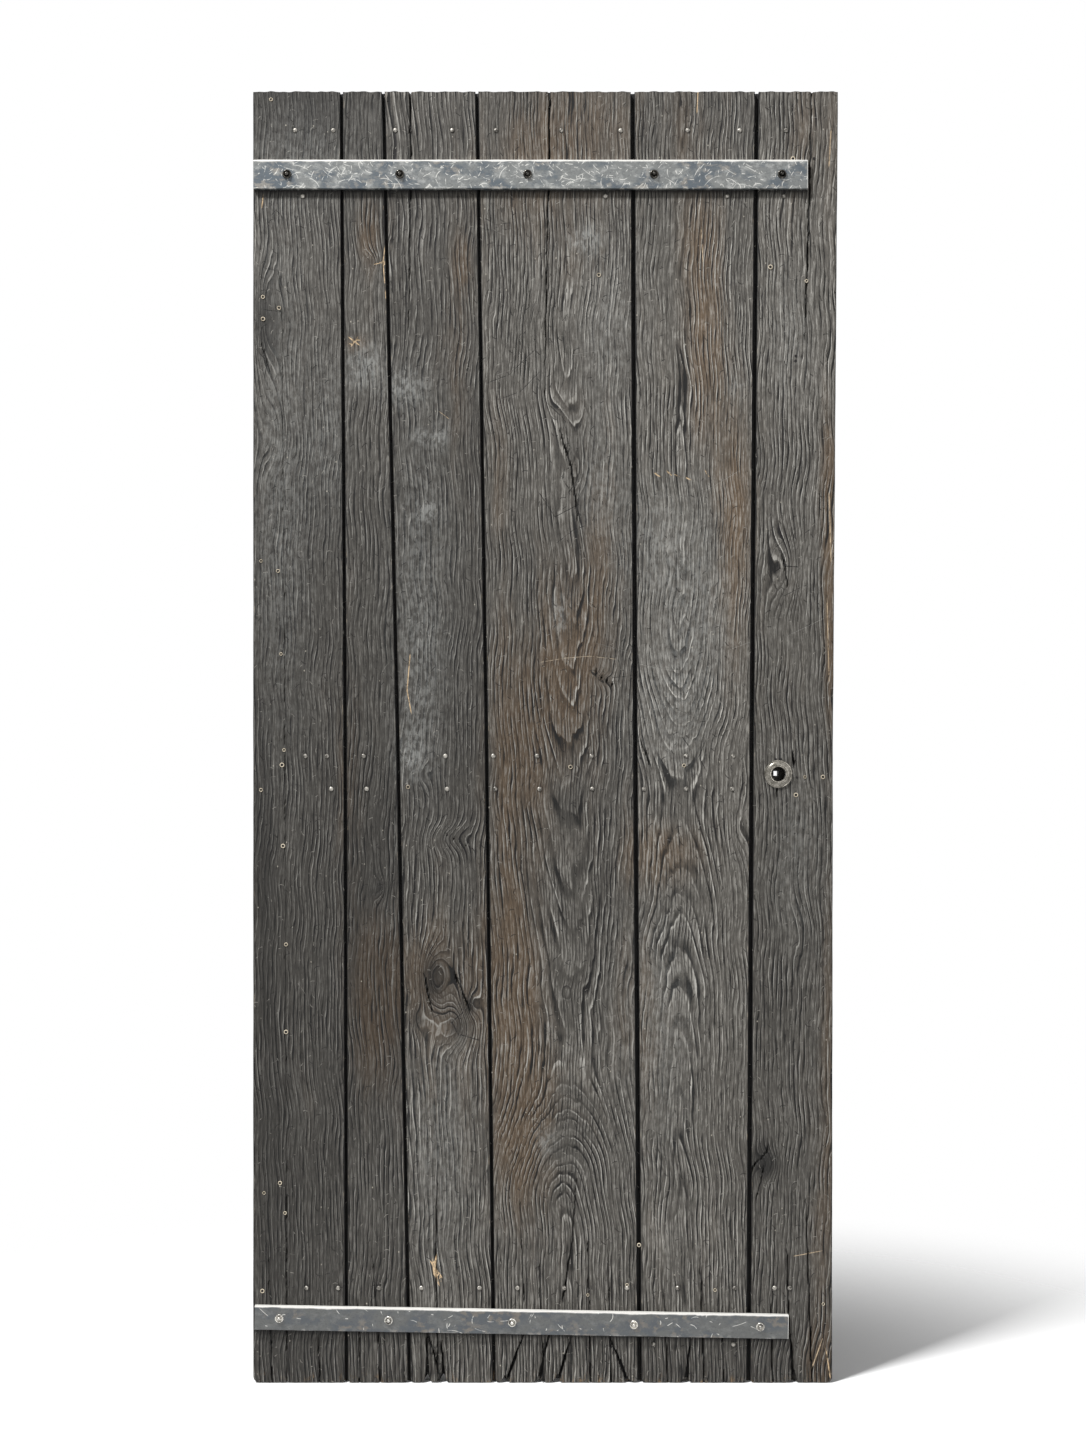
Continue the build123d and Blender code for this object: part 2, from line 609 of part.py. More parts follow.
def door_pieces():
    holes = bolt_holes() + nail_holes()
    latch_end = LATCH_EDGE_FOOT - LEDGE_INSET
    top_bolts, bottom_bolts = bolt_places()
    nails = nail_rows()
    pieces = {f"board_{number}": board(number, holes) for number in range(1, 7)}
    ledges = {
        "top_ledge": (LEAF_WIDTH - LEDGE_INSET, TOP_LEDGE_LEVEL, TOP_LEDGE_HEIGHT),
        "middle_ledge": (MIDDLE_LEDGE_END, MIDDLE_LEDGE_LEVEL, MIDDLE_LEDGE_HEIGHT),
        "bottom_ledge": (latch_end, BOTTOM_LEDGE_LEVEL, BOTTOM_LEDGE_HEIGHT),
    }
    for name, (end, level, height) in ledges.items():
        pieces[name] = ledge(LEDGE_INSET, end, level, height, holes)
    top = (TOP_STRAP_START, TOP_STRAP_END, TOP_STRAP_LEVEL, TOP_STRAP_HEIGHT, TOP_STRAP_DROOP)
    bottom = (BOTTOM_STRAP_START, BOTTOM_STRAP_END, BOTTOM_STRAP_LEVEL, BOTTOM_STRAP_HEIGHT)
    pieces["top_strap"] = strap(*top, bolt_holes())
    pieces["bottom_strap"] = strap(*bottom, BOTTOM_STRAP_DROOP, bolt_holes())
    pieces["top_strap_bolts"] = group(strap_bolt(*place) for place in top_bolts)
    pieces["bottom_strap_bolts"] = group(strap_bolt(*place) for place in bottom_bolts)
    pieces["strap_washers"] = group(washer(*place) for place in top_bolts + bottom_bolts)
    pieces["strap_nuts"] = group(nut(*place) for place in top_bolts + bottom_bolts)
    for name, places in nails.items():
        pieces[f"{name}_ledge_nails"] = group(nail(*place) for place in places)
    pieces["rose"] = rose()
    pieces["latch_case"] = latch_case()
    pieces["latch_plate"] = latch_plate()
    pieces["latch_hub"] = latch_hub()
    pieces["latch_bolt"] = latch_bolt()
    pieces["latch_spring"] = latch_spring()
    pieces["latch_screws"] = group(latch_screw(*place) for place in screw_places())
    return pieces


os.makedirs("parts", exist_ok=True)
for name, piece in door_pieces().items():
    export_step(piece, f"parts/{name}.step")
    print(name, "written")
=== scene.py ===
# %% [markdown]
# # An old plank door leaf
# The leaf is six tapered boards held by three ledges behind and two flat straps in front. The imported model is
# the fixed frame: every piece made here lies where the frame says, in metres, with its place in its own mesh.

# %% Load the frame
import math

import bmesh
import bpy
import numpy as np
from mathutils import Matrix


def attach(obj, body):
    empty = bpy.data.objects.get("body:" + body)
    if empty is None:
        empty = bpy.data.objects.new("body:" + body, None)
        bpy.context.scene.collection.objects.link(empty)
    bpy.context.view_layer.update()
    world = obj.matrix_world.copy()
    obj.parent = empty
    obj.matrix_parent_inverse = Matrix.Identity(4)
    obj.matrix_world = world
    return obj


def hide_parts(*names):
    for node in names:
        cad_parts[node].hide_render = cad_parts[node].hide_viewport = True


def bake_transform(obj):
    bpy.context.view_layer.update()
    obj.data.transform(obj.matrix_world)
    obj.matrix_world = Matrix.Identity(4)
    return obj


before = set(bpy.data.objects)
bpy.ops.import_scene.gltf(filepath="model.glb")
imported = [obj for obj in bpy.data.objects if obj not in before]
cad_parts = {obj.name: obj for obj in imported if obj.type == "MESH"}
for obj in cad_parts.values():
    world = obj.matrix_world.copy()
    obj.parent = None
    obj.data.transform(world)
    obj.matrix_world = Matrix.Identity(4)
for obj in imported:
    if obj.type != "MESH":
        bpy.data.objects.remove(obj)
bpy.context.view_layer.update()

# %% [markdown]
# ## Sizes
# A door like this is measured from its hinge edge and from its foot, in millimetres. The photo is measured in
# pixels, and one pixel is 1.579 mm on the front of the boards, so two small functions turn one into the other.

# %% Sizes and places
MM = 0.001
PIXEL = 1.579
HINGE_PIXEL, FOOT_PIXEL = 252.7, 1383.0
HEIGHT, WIDTH = 2040.0, 925.0
FRONT, BACK, LEDGE_BACK = -15.0, 15.0, 45.0
STRAP_FRONT = -23.0
SPINDLE_PLACE, SPINDLE_LEVEL = 829.8, 961.6
DROOP = math.radians(1.0)
# strap: start, end, level of its middle at the start, height, droop
STRAPS = {"top_strap": (2.0, 875.5, 1906.6, 46.0, 0.0), "bottom_strap": (4.0, 845.0, 105.2, 38.0, DROOP)}


def place(px):
    return (px - HINGE_PIXEL) * PIXEL


def level(py):
    return (FOOT_PIXEL - py) * PIXEL


def across(distance):
    return distance - WIDTH / 2


def put(name, data):
    """A new object in the scene, left at the origin."""
    thing = bpy.data.objects.new(name, data)
    bpy.context.scene.collection.objects.link(thing)
    return thing


print("one pixel is", PIXEL, "mm")

# %% [markdown]
# ## Camera, light and floor
# The camera looks straight at the leaf from a little over three metres, at half its height, so nothing leans.
# Soft light comes from above and in front: it catches the top edges of the straps and leaves a thin shadow
# under them. Both are strengthened in colour: a painted highlight along the top edges and a line of painted
# shade under each strap.

# %% Camera
IMAGE_WIDTH, IMAGE_HEIGHT = 1086, 1448
CAMERA_DISTANCE = 3.2
SENSOR = 24.0
camera_data = bpy.data.cameras.new("camera")
camera = put("camera", camera_data)
camera_data.sensor_fit = "VERTICAL"
camera_data.sensor_height = SENSOR
camera_data.lens = SENSOR * CAMERA_DISTANCE / (IMAGE_HEIGHT * PIXEL * MM)
camera.location = (across(place(IMAGE_WIDTH / 2)) * MM, FRONT * MM - CAMERA_DISTANCE,
                   level(IMAGE_HEIGHT / 2) * MM)
camera.rotation_euler = (math.pi / 2, 0, 0)
bpy.context.scene.camera = camera
print("lens", round(camera_data.lens, 2))

# %% One way to add nodes


class Bench:
    """A node tree, with one way to add any node to it."""

    def __init__(self, tree):
        self.tree = tree

    def add(self, kind, settings=None, inputs=None):
        node = self.tree.nodes.new(kind)
        for key, value in (settings or {}).items():
            if key == "stops":
                fill_ramp(node.color_ramp, value)
            else:
                setattr(node, key, value)
        for key, value in (inputs or {}).items():
            self.feed(node.inputs[key], value)
        return node

    def feed(self, socket, value):
        value = getattr(value, "socket", value)
        if isinstance(value, bpy.types.NodeSocket):
            self.tree.links.new(value, socket)
        else:
            socket.default_value = value

    def value(self, socket):
        return Value(self, socket)

    def vector(self, x=0.0, y=0.0, z=0.0):
        return self.add("ShaderNodeCombineXYZ", inputs={"X": x, "Y": y, "Z": z}).outputs[0]

    def parts(self, socket):
        return [Value(self, out) for out in self.add("ShaderNodeSeparateXYZ", inputs={0: socket}).outputs]

    def attribute(self, name):
        """The three numbers that a skin carries under a name."""
        return self.parts(self.add("ShaderNodeAttribute", {"attribute_name": name}).outputs["Vector"])

    def spot(self):
        """Where a point lies in its own piece, in millimetres."""
        return [part * 1000 for part in self.parts(self.add("ShaderNodeTexCoord").outputs["Object"])]

    def noise(self, x, y=0.0, z=0.0, detail=2.0, rough=0.5):
        inputs = {"Vector": self.vector(x, y, z), "Scale": 1.0, "Detail": detail, "Roughness": rough}
        return Value(self, self.add("ShaderNodeTexNoise", inputs=inputs).outputs[0])

    def blend(self, mask, low, high):
        settings = {"data_type": "RGBA", "blend_type": "MIX", "clamp_factor": True}
        return self.add("ShaderNodeMix", settings, {0: mask, 6: low, 7: high}).outputs[2]

    def coat(self, mask, under, *colour):
        """A layer of one colour, named 0 to 255, over what is under it."""
        return self.blend(mask, under, linear(*colour))

    def bump(self, shader, strength, distance, height):
        inputs = {"Strength": strength, "Distance": distance, "Height": height}
        self.feed(shader.inputs["Normal"], self.add("ShaderNodeBump", inputs=inputs).outputs[0])

    def ramp(self, value, stops):
        return self.add("ShaderNodeValToRGB", {"stops": stops}, {0: value}).outputs[0]


class Value:
    """A number that varies over a surface. Sums on it add the Math nodes they need."""

    def __init__(self, bench, socket):
        self.bench = bench
        self.socket = socket

    def math(self, operation, *others):
        inputs = dict(enumerate((self,) + others))
        return Value(self.bench, self.bench.add("ShaderNodeMath", {"operation": operation}, inputs).outputs[0])

    def __add__(self, other):
        return self.math("ADD", other)

    def __sub__(self, other):
        return self.math("SUBTRACT", other)

    def __mul__(self, other):
        return self.math("MULTIPLY", other)

    def __truediv__(self, other):
        return self.math("DIVIDE", other)

    def __rsub__(self, other):
        node = self.bench.add("ShaderNodeMath", {"operation": "SUBTRACT"}, {0: other, 1: self})
        return Value(self.bench, node.outputs[0])

    __radd__ = __add__
    __rmul__ = __mul__

    def rise(self, low, high):
        """0 below low, 1 above high, smooth between."""
        settings = {"interpolation_type": "SMOOTHSTEP"}
        inputs = {"Value": self, "From Min": low, "From Max": high}
        return Value(self.bench, self.bench.add("ShaderNodeMapRange", settings, inputs).outputs[0])

    def fall(self, low, high):
        return 1 - self.rise(low, high)


def linear(red, green, blue):
    """A colour as the eye names it, 0 to 255, turned into light."""
    return tuple((c / 255) ** 2.2 for c in (red, green, blue)) + (1.0,)


def fill_ramp(ramp, stops):
    while len(ramp.elements) < len(stops):
        ramp.elements.new(0.5)
    for element, (position, colour) in zip(ramp.elements, stops):
        element.position = position
        element.color = colour


def slot_of(material):
    """The record's slot that a finish is made for. The frame's own materials already hold the bare names."""
    return material.name.removeprefix("worn_")


def new_material(name):
    material = bpy.data.materials.new("worn_" + name)
    material.use_nodes = True
    bench = Bench(material.node_tree)
    shader = material.node_tree.nodes["Principled BSDF"]
    return material, bench, shader


print("node bench ready")

# %% Floor and light
floor_mesh = bpy.data.meshes.new("floor")
floor_mesh.from_pydata([(-4, -4, 0), (4, -4, 0), (4, 4, 0), (-4, 4, 0)], [], [(0, 1, 2, 3)])
floor = put("floor", floor_mesh)
floor_material, floor_bench, floor_shader = new_material("pale_floor")
floor_shader.inputs["Base Color"].default_value = (0.96, 0.96, 0.96, 1)
floor_shader.inputs["Roughness"].default_value = 0.9
spot_x, spot_y, _ = floor_bench.parts(floor_bench.add("ShaderNodeTexCoord").outputs["Object"])
reach = (spot_x * spot_x + spot_y * spot_y * 1.6).math("SQRT")
floor_bench.feed(floor_shader.inputs["Alpha"], reach.fall(0.45, 1.5))
floor_mesh.materials.append(floor_material)

world = bpy.data.worlds.new("studio")
bpy.context.scene.world = world
world.use_nodes = True
world_bench = Bench(world.node_tree)
world_bench.tree.nodes.clear()
path = world_bench.add("ShaderNodeLightPath")
seen = world_bench.value(path.outputs["Is Camera Ray"])
for ray in ("Is Glossy Ray", "Is Transmission Ray"):
    seen = seen.math("MAXIMUM", world_bench.value(path.outputs[ray]))
soft_sky = world_bench.add("ShaderNodeBackground", inputs={"Color": (1, 1, 1, 1), "Strength": 0.24})
white_sky = world_bench.add("ShaderNodeBackground", inputs={"Color": (1, 1, 1, 1), "Strength": 1.0})
sky = world_bench.add("ShaderNodeMixShader", inputs={0: seen, 1: soft_sky.outputs[0], 2: white_sky.outputs[0]})
world_bench.add("ShaderNodeOutputWorld", inputs={0: sky.outputs[0]})


def softbox(name, spot, aim, size, power):
    lamp = bpy.data.lights.new(name, "AREA")
    lamp.shape = "RECTANGLE"
    lamp.size, lamp.size_y = size
    lamp.energy = power
    holder = put(name, lamp)
    holder.location = spot
    direction = np.array(aim, float) - np.array(spot, float)
    flat = math.hypot(direction[0], direction[1])
    holder.rotation_euler = (math.atan2(flat, -direction[2]), 0, math.atan2(-direction[0], direction[1]))


softbox("key", (-2.5, -2.4, 6.0), (0, 0, 1.0), (1.0, 0.6), 600)
softbox("fill", (1.4, -4.4, 1.2), (0, 0, 0.8), (1.6, 1.6), 34)
bpy.context.scene.view_settings.view_transform = "Standard"
print("stage set")

# %% [markdown]
# ## Boards
# Each board was sawn along a tree, so every mark in it follows one simple rule: the rings lie around the heart
# of the tree, and a board's face shows where it cuts them. Where the heart comes nearer the face, the lines
# close into pointed arches. Painting a picture of grain would not wrap round the ends and edges, so each board
# is made as a fine mesh that carries its distance from the heart, and the finish works out the rings from that.

# %% Board outlines
JOINTS = ((148.0, 146.0, 140.0), (247.5, 229.0, 206.0), (381.0, 369.0, 354.0), (611.0, 604.0, 600.0),
          (783.0, 788.0, 796.0))
GAPS = (3.0, 3.0, 3.0, 4.5, 4.5)
LATCH_EDGE = (915.5, 917.0, 925.0)
LEVELS = (0.0, 1015.0, 2040.0)
ARRIS, EDGE_WEAR = 0.8, 0.8
EDGE_CORNER = 5.0
WELD = 1e-6
TONGUE_HALF, TONGUE_REACH, GROOVE_DEPTH, GROOVE_HALF = 4.0, 6.0, 6.5, 4.3
FOOT_CORNER, LEAF_CORNER = 4.0, 9.0


def wander(z, reach, length, seed):
    """A slow wobble along a line, made of a few waves."""
    total = np.zeros_like(z)
    for step in range(1, 5):
        total += np.sin(z * 2 * math.pi * step ** 1.3 / length + seed * 1.7 * step) / step
    return total * reach / 2


def corner(z, size, round_corner):
    """How far a worn foot corner cuts into the edge at each level."""
    under = np.clip(size - z, 0, size)
    return size - np.sqrt(size ** 2 - under ** 2) if round_corner else under


def board_edges(number, z):
    left = np.zeros_like(z) if number == 1 else np.interp(z, LEVELS, JOINTS[number - 2]) + GAPS[number - 2] / 2
    right = np.interp(z, LEVELS, LATCH_EDGE if number == 6 else JOINTS[number - 1])
    right = right - (0 if number == 6 else GAPS[number - 1] / 2)
    left = left + corner(z, LEAF_CORNER if number == 1 else FOOT_CORNER, number == 1)
    right = right - corner(z, LEAF_CORNER if number == 6 else FOOT_CORNER, number == 6)
    left = left + EDGE_WEAR + wander(z, 0.25, 310, number)
    right = right - EDGE_WEAR + wander(z, 0.25, 270, number + 9)
    return left, right


def board_section(number, left, right, columns, back_columns):
    """Outline of a board cut across: face, tongued edge, back and grooved edge, as (across, depth) pairs."""
    steps = np.linspace(0, 1, columns)
    points = [(left + ARRIS + (right - left - 2 * ARRIS) * t, FRONT) for t in steps]
    points.append((right, FRONT + ARRIS))
    if number < 6:
        tip = right + GAPS[number - 1] + TONGUE_REACH
        points += [(right, -TONGUE_HALF), (tip, -TONGUE_HALF), (tip, TONGUE_HALF), (right, TONGUE_HALF)]
    else:
        points += [(right, -EDGE_CORNER), (right, EDGE_CORNER)]
    points.append((right, BACK - ARRIS))
    points += [(right - ARRIS - (right - left - 2 * ARRIS) * t, BACK) for t in np.linspace(0, 1, back_columns)]
    points.append((left, BACK - ARRIS))
    if number > 1:
        deep = left + GROOVE_DEPTH
        points += [(left, GROOVE_HALF), (deep, GROOVE_HALF), (deep, -GROOVE_HALF), (left, -GROOVE_HALF)]
    else:
        points += [(left, EDGE_CORNER), (left, -EDGE_CORNER)]
    points.append((left, FRONT + ARRIS))
    return points


def swept(name, stations, sections, along):
    """Closed skin through a row of equal sections. Along says which way the grain runs, x or z."""
    count = len(sections[0])
    places = np.array(sections, float)
    flat = places.reshape(-1, 2)
    run = np.repeat(np.asarray(stations, float), count)
    if along == "z":
        points = np.column_stack([across(flat[:, 0]), flat[:, 1], run])
    else:
        points = np.column_stack([across(run), flat[:, 1], flat[:, 0]])
    rows = len(stations)
    first = np.arange(count)
    following = np.roll(first, -1)
    quads = [np.column_stack([first + r * count, following + r * count, following + (r + 1) * count,
                              first + (r + 1) * count]) for r in range(rows - 1)]
    faces = np.concatenate(quads).tolist()
    faces.append(list(range(count))[::-1])
    faces.append([(rows - 1) * count + i for i in range(count)])
    mesh = bpy.data.meshes.new(name)
    mesh.from_pydata((points * MM).tolist(), [], faces)
    tidy(mesh)
    return put(name, mesh)


def face_out(work):
    """Turns every face of a closed skin outwards, since Blender's own guess can be inside out on a thin shape."""
    bmesh.ops.recalc_face_normals(work, faces=work.faces)
    if work.calc_volume(signed=True) < 0:
        bmesh.ops.reverse_faces(work, faces=work.faces)


def tidy(mesh):
    """Joins doubled corners and turns every face outwards."""
    work = bmesh.new()
    work.from_mesh(mesh)
    bmesh.ops.remove_doubles(work, verts=work.verts, dist=WELD)
    face_out(work)
    work.to_mesh(mesh)
    work.free()


print("outlines ready")

# %% [markdown]
# ## Grain, cracks and wear as fields
# The finish needs to know, at every point, how far the heart is, how near the next crack or scratch is, and
# where the board is stained or rubbed. Drawing these as smooth fields on the mesh keeps the edges of cracks
# crisp, because a distance is the same straight slope between two points of the mesh as it is in truth.

# %% Where the heart lies
# board: place of the heart, then (level, depth behind the face) pairs
HEARTS = {
    1: (-190.0, ((0, 90), (700, 120), (1300, 90), (2040, 110))),
    2: (330.0, ((0, 90), (600, 70), (1300, 110), (2040, 80))),
    3: (160.0, ((0, 80), (500, 120), (1200, 90), (2040, 110))),
    4: (499.0, ((0, 7), (150, 9), (290, 16), (340, 34), (450, 86), (540, 90), (900, 66), (1250, 34), (1440, 30),
                (1560, 14), (1800, 9), (2040, 7))),
    5: (676.0, ((0, 12), (300, 16), (620, 36), (860, 66), (960, 72), (1060, 46), (1180, 14), (1320, 9),
                (1600, 12),
                (1800, 18), (2040, 10))),
    6: (1010.0, ((0, 70), (500, 110), (1200, 90), (2040, 120))),
}
# board: knots as place, level, half width, half height, lift of the rings around it, darkness
KNOTS = {
    1: ((20, 1680, 14, 60, 24, 0.1), (34, 1500, 12, 40, -18, 0.1)),
    2: ((201, 782, 8, 14, 14, 0.7), (186, 1770, 9, 11, 12, 0.6)),
    3: ((286, 640, 16, 34, 34, 0.75), (322, 560, 18, 26, -30, 0.7), (345, 596, 10, 16, 18, 0.8),
        (262, 575, 10, 18, 14, 0.6), (311, 860, 22, 14, 16, 0.3), (269, 960, 8, 12, 10, 0.6),
        (246, 1610, 12, 60, 5, 0.0), (330, 1120, 26, 60, 12, 0.0)),
    4: ((496, 617, 7, 9, 8, 0.3), (556, 1110, 11, 8, 9, 0.6), (500, 1490, 10, 40, 9, 0.2),
        (512, 1440, 8, 22, -7, 0.3), (484, 1530, 9, 26, 7, 0.2), (522, 1545, 12, 24, -6, 0.1),
        (516, 1395, 8, 22, 7, 0.3), (575, 700, 20, 70, 8, 0.0), (400, 1660, 22, 50, 9, 0.0),
        (420, 1600, 20, 60, -8, 0.0), (398, 1480, 16, 60, 7, 0.0)),
    5: ((662, 1290, 8, 22, 8, 0.2), (765, 870, 10, 30, 10, 0.2), (640, 420, 20, 60, 8, 0.1)),
    6: ((842, 1284, 18, 38, 26, 0.15), (812, 345, 13, 15, 18, 0.85), (800, 1750, 12, 60, 9, 0.0),
        (872, 700, 16, 60, 10, 0.0)),
}


EASE_STEP, EASE_STEPS = 4.0, 30


def oval(x, z, middle_x, middle_z, half_x, half_z):
    """Squared distance from the middle of an oval, 1 on its rim."""
    return ((x - middle_x) / half_x) ** 2 + ((z - middle_z) / half_z) ** 2


def smooth_line(z, stops):
    """A line through stops, with its corners eased."""
    fine = np.arange(-200.0, HEIGHT + 200.0, EASE_STEP)
    heights = np.interp(fine, [s[0] for s in stops], [s[1] for s in stops])
    window = np.hanning(2 * EASE_STEPS + 1)
    eased = np.convolve(np.pad(heights, EASE_STEPS, mode="edge"), window / window.sum(), mode="valid")
    return np.interp(z, fine, eased)


def rings(number, x, z):
    """Heart's place and depth at each level, and how far knots push the rings aside."""
    heart_place, depths = HEARTS[number]
    heart_x = heart_place + wander(z, 7.0, 640, number * 3)
    heart_y = FRONT + smooth_line(z, depths)
    push = wander(z + 3 * x, 1.6, 180, number + 4)
    for *shape, lift, _ in KNOTS[number]:
        push = push + lift * np.exp(-oval(x, z, *shape) / 2)
    return heart_x, heart_y, push


print("knots", sum(len(k) for k in KNOTS.values()))

# %% Cracks, splits and scratches
FOOT_SPLITS = ((3, 276.0, 275.0, 78.0), (3, 302.0, 298.0, 62.0), (4, 398.5, 428.0, 76.0),
               (4, 451.0, 467.0, 74.0),
               (4, 480.0, 503.0, 72.0), (4, 594.0, 564.0, 72.0), (5, 684.0, 691.0, 66.0),
               (6, 855.0, 848.0, 82.0))
HEAD_SPLIT = (4, 469.0, 468.0, 110.0)
FOOT_SPLIT_TOP = 84.0
# board: cracks as pixels of the photo from the top down, then half width in millimetres at each
CRACKS = {
    1: (((282, 300), (285, 700), (286, 1100), (287, 1383), (0.0, 0.15, 0.1, 0.5)),
        ((268, 1240), (272, 1383), (0.1, 0.8)), ((318, 1335), (320, 1383), (0.2, 0.9)),
        ((262, 345), (270, 372), (0.5, 0.5))),
    2: (((372, 1250), (378, 1330), (380, 1383), (0.1, 0.7, 1.0)), ((358, 1300), (360, 1383), (0.1, 0.8))),
    3: (((437, 1180), (436, 1253), (438, 1383), (0.4, 0.5, 0.9)), ((427, 1330), (441, 1380), (0.8, 1.0)),
        ((410, 91), (411, 160), (409, 330), (1.3, 0.9, 0.2)), ((446, 835), (475, 850), (0.7, 0.5)),
        ((455, 975), (470, 1010), (0.9, 0.7)), ((424, 975), (432, 1010), (0.9, 0.6))),
    4: (((549.5, 150), (549, 160), (547, 260), (545, 400), (1.8, 0.9, 0.7, 0.3)),
        ((576.6, 1180), (572, 1243), (563, 1299), (0.3, 0.8, 1.2)), ((588, 1243), (590, 1383), (0.4, 1.0)),
        ((560, 430), (572, 470), (578, 520), (0.5, 1.0, 0.4)), ((596, 674), (612, 684), (1.4, 0.8)),
        ((520, 1200), (524, 1300), (0.2, 0.6)), ((608, 1250), (611, 1383), (0.2, 0.9)),
        ((538, 1240), (544, 1383), (0.2, 0.9))),
    5: (((700, 1250), (704, 1383), (0.2, 0.8)), ((664, 1290), (668, 1383), (0.2, 0.9)),
        ((722, 1320), (724, 1383), (0.3, 0.8)), ((641, 742), (650, 765), (0.9, 0.5))),
    6: (((812, 91), (808, 250), (805, 340), (0.4, 1.1, 0.3)), ((787, 1250), (789, 1330), (0.5, 1.0)),
        ((793, 753), (793.5, 763), (1.0, 1.5)), ((777, 789), (777, 797), (0.5, 0.6)),
        ((806, 1200), (812, 1383), (0.3, 1.1)), ((768, 1150), (752, 1168), (1.6, 0.9)),
        ((770, 1300), (773, 1383), (0.2, 0.9)), ((764, 1168), (756, 1200), (0.7, 0.4)),
        ((782, 555), (788, 584), (0.6, 0.5))),
}
# scratches: pixels from end to end, then half width in millimetres and brightness
SCRATCHES = (
    ((541, 662), (565, 658), (590, 656), (615, 659), (0.5, 0.75)),
    ((640, 664), (662, 669), (685, 671), (0.45, 0.6)), ((596, 643), (640, 655), (0.35, 0.4)),
    ((700, 492), (712, 487), (740, 470), (0.35, 0.4)), ((728, 650), (750, 642), (0.4, 0.5)),
    ((787, 636), (810, 625), (830, 615), (0.4, 0.45)), ((410, 655), (407, 690), (411, 712), (0.9, 0.95)),
    ((393, 572), (395, 600), (0.9, 0.9)), ((396, 640), (395, 660), (0.6, 0.8)),
    ((698, 91), (697, 112), (0.7, 0.9)), ((701, 226), (703, 262), (0.7, 0.8)),
    ((436, 1258), (434, 1270), (438, 1282), (1.8, 1.0)), ((431, 1262), (441, 1276), (1.1, 1.0)),
    ((795, 1256), (821, 1251), (0.7, 0.8)), ((640, 1244), (640, 1262), (0.8, 0.9)),
    ((387, 230), (383, 262), (386, 300), (0.8, 0.9)), ((375, 264), (386, 262), (0.6, 0.9)),
    ((440, 412), (448, 418), (0.6, 0.8)), ((350, 338), (358, 344), (1.1, 0.9)),
    ((352, 345), (357, 338), (1.0, 0.9)), ((533, 715), (532, 745), (0.35, 0.4)),
    ((829, 495), (831, 560), (1.2, 0.8)), ((827, 600), (829, 680), (0.9, 0.8)),
    ((822, 1340), (812, 1368), (0.9, 0.8)), ((826, 1350), (830, 1376), (1.1, 0.9)),
    ((263, 196), (262, 206), (1.0, 0.95)), ((831, 130), (829, 166), (1.0, 0.8)),
    ((300, 262), (298, 300), (0.35, 0.35)), ((330, 500), (334, 560), (0.35, 0.3)),
    ((470, 1085), (474, 1120), (0.35, 0.35)), ((646, 520), (650, 548), (0.35, 0.4)),
    ((718, 792), (722, 812), (0.5, 0.5)), ((570, 355), (600, 350), (0.4, 0.4)),
    ((496, 375), (520, 366), (0.4, 0.35)), ((552, 540), (548, 560), (0.5, 0.5)),
    ((395, 800), (394, 860), (0.5, 0.5)), ((405, 1245), (407, 1290), (0.5, 0.5)),
    ((440, 307), (463, 337), (0.35, 0.4)), ((641, 684), (668, 707), (698, 718), (0.35, 0.4)),
    ((656, 474), (659, 476), (1.2, 0.9)), ((668, 472), (670, 474), (1.2, 0.9)),
    ((676, 475), (678, 476), (1.1, 0.9)), ((687, 478), (689, 479), (1.1, 0.9)),
    ((706, 472), (708, 475), (1.2, 0.9)),
    # worm tracks, burls and shakes: dark, so their shine is below nought
    ((547, 403), (563, 418), (570, 448), (562, 479), (576, 498), (0.8, -0.8)),
    ((574, 456), (578, 479), (568, 494), (0.7, -0.8)), ((540, 494), (555, 517), (578, 505), (0.7, -0.8)),
    ((557, 543), (574, 530), (585, 526), (0.6, -0.8)), ((593, 673), (601, 681), (611, 684), (1.4, -0.9)),
    ((611, 678), (632, 676), (0.6, -0.7)), ((784, 566), (784, 552), (0.8, -0.9)),
    ((784, 566), (775, 572), (0.8, -0.9)), ((784, 566), (797, 567), (0.8, -0.9)),
    ((766, 566), (775, 548), (784, 541), (0.6, -0.7)),
    ((768, 572), (776, 588), (784, 596), (800, 588), (0.6, -0.8)),
    ((803, 456), (801, 472), (1.0, -0.8)), ((272, 215), (276, 210), (282, 217), (284, 228), (0.6, -0.8)),
    ((267, 269), (278, 271), (282, 286), (0.7, -0.8)), ((257, 350), (267, 362), (265, 376), (0.7, -0.8)),
    ((265, 310), (281, 312), (284, 334), (0.7, -0.8)), ((486, 219), (497, 225), (510, 223), (0.6, -0.7)),
    ((484, 229), (497, 232), (510, 229), (0.6, -0.7)), ((488, 383), (509, 375), (535, 350), (0.6, -0.7)),
    ((526, 310), (535, 303), (531, 322), (0.6, -0.8)), ((498, 400), (520, 392), (540, 372), (0.6, -0.7)),
    ((683, 738), (690, 748), (688, 762), (0.7, -0.8)), ((705, 742), (699, 757), (707, 772), (0.7, -0.8)),
    ((715, 790), (724, 799), (722, 812), (0.7, -0.8)),
    ((466, 1010), (452, 1022), (458, 1034), (478, 1040), (0.9, -0.8)),
)


NO_LINE = (3.0, -2.0)
LINE_REACH = 5.0


def blank_lines(x):
    """Rows of offset, half width and shine with no line in them yet."""
    return np.array([np.full_like(x, NO_LINE[0]), np.full_like(x, NO_LINE[1]), np.zeros_like(x)])


def draw_line(rows, away, half, shine=0.0):
    """Writes a line into the rows wherever it is the nearest so far."""
    half = half - np.maximum(np.abs(away) - LINE_REACH, 0)
    nearer = half - np.abs(away) > rows[1] - np.abs(rows[0])
    rows[:, nearer] = np.array([away[nearer], half[nearer], np.full(nearer.sum(), shine)])


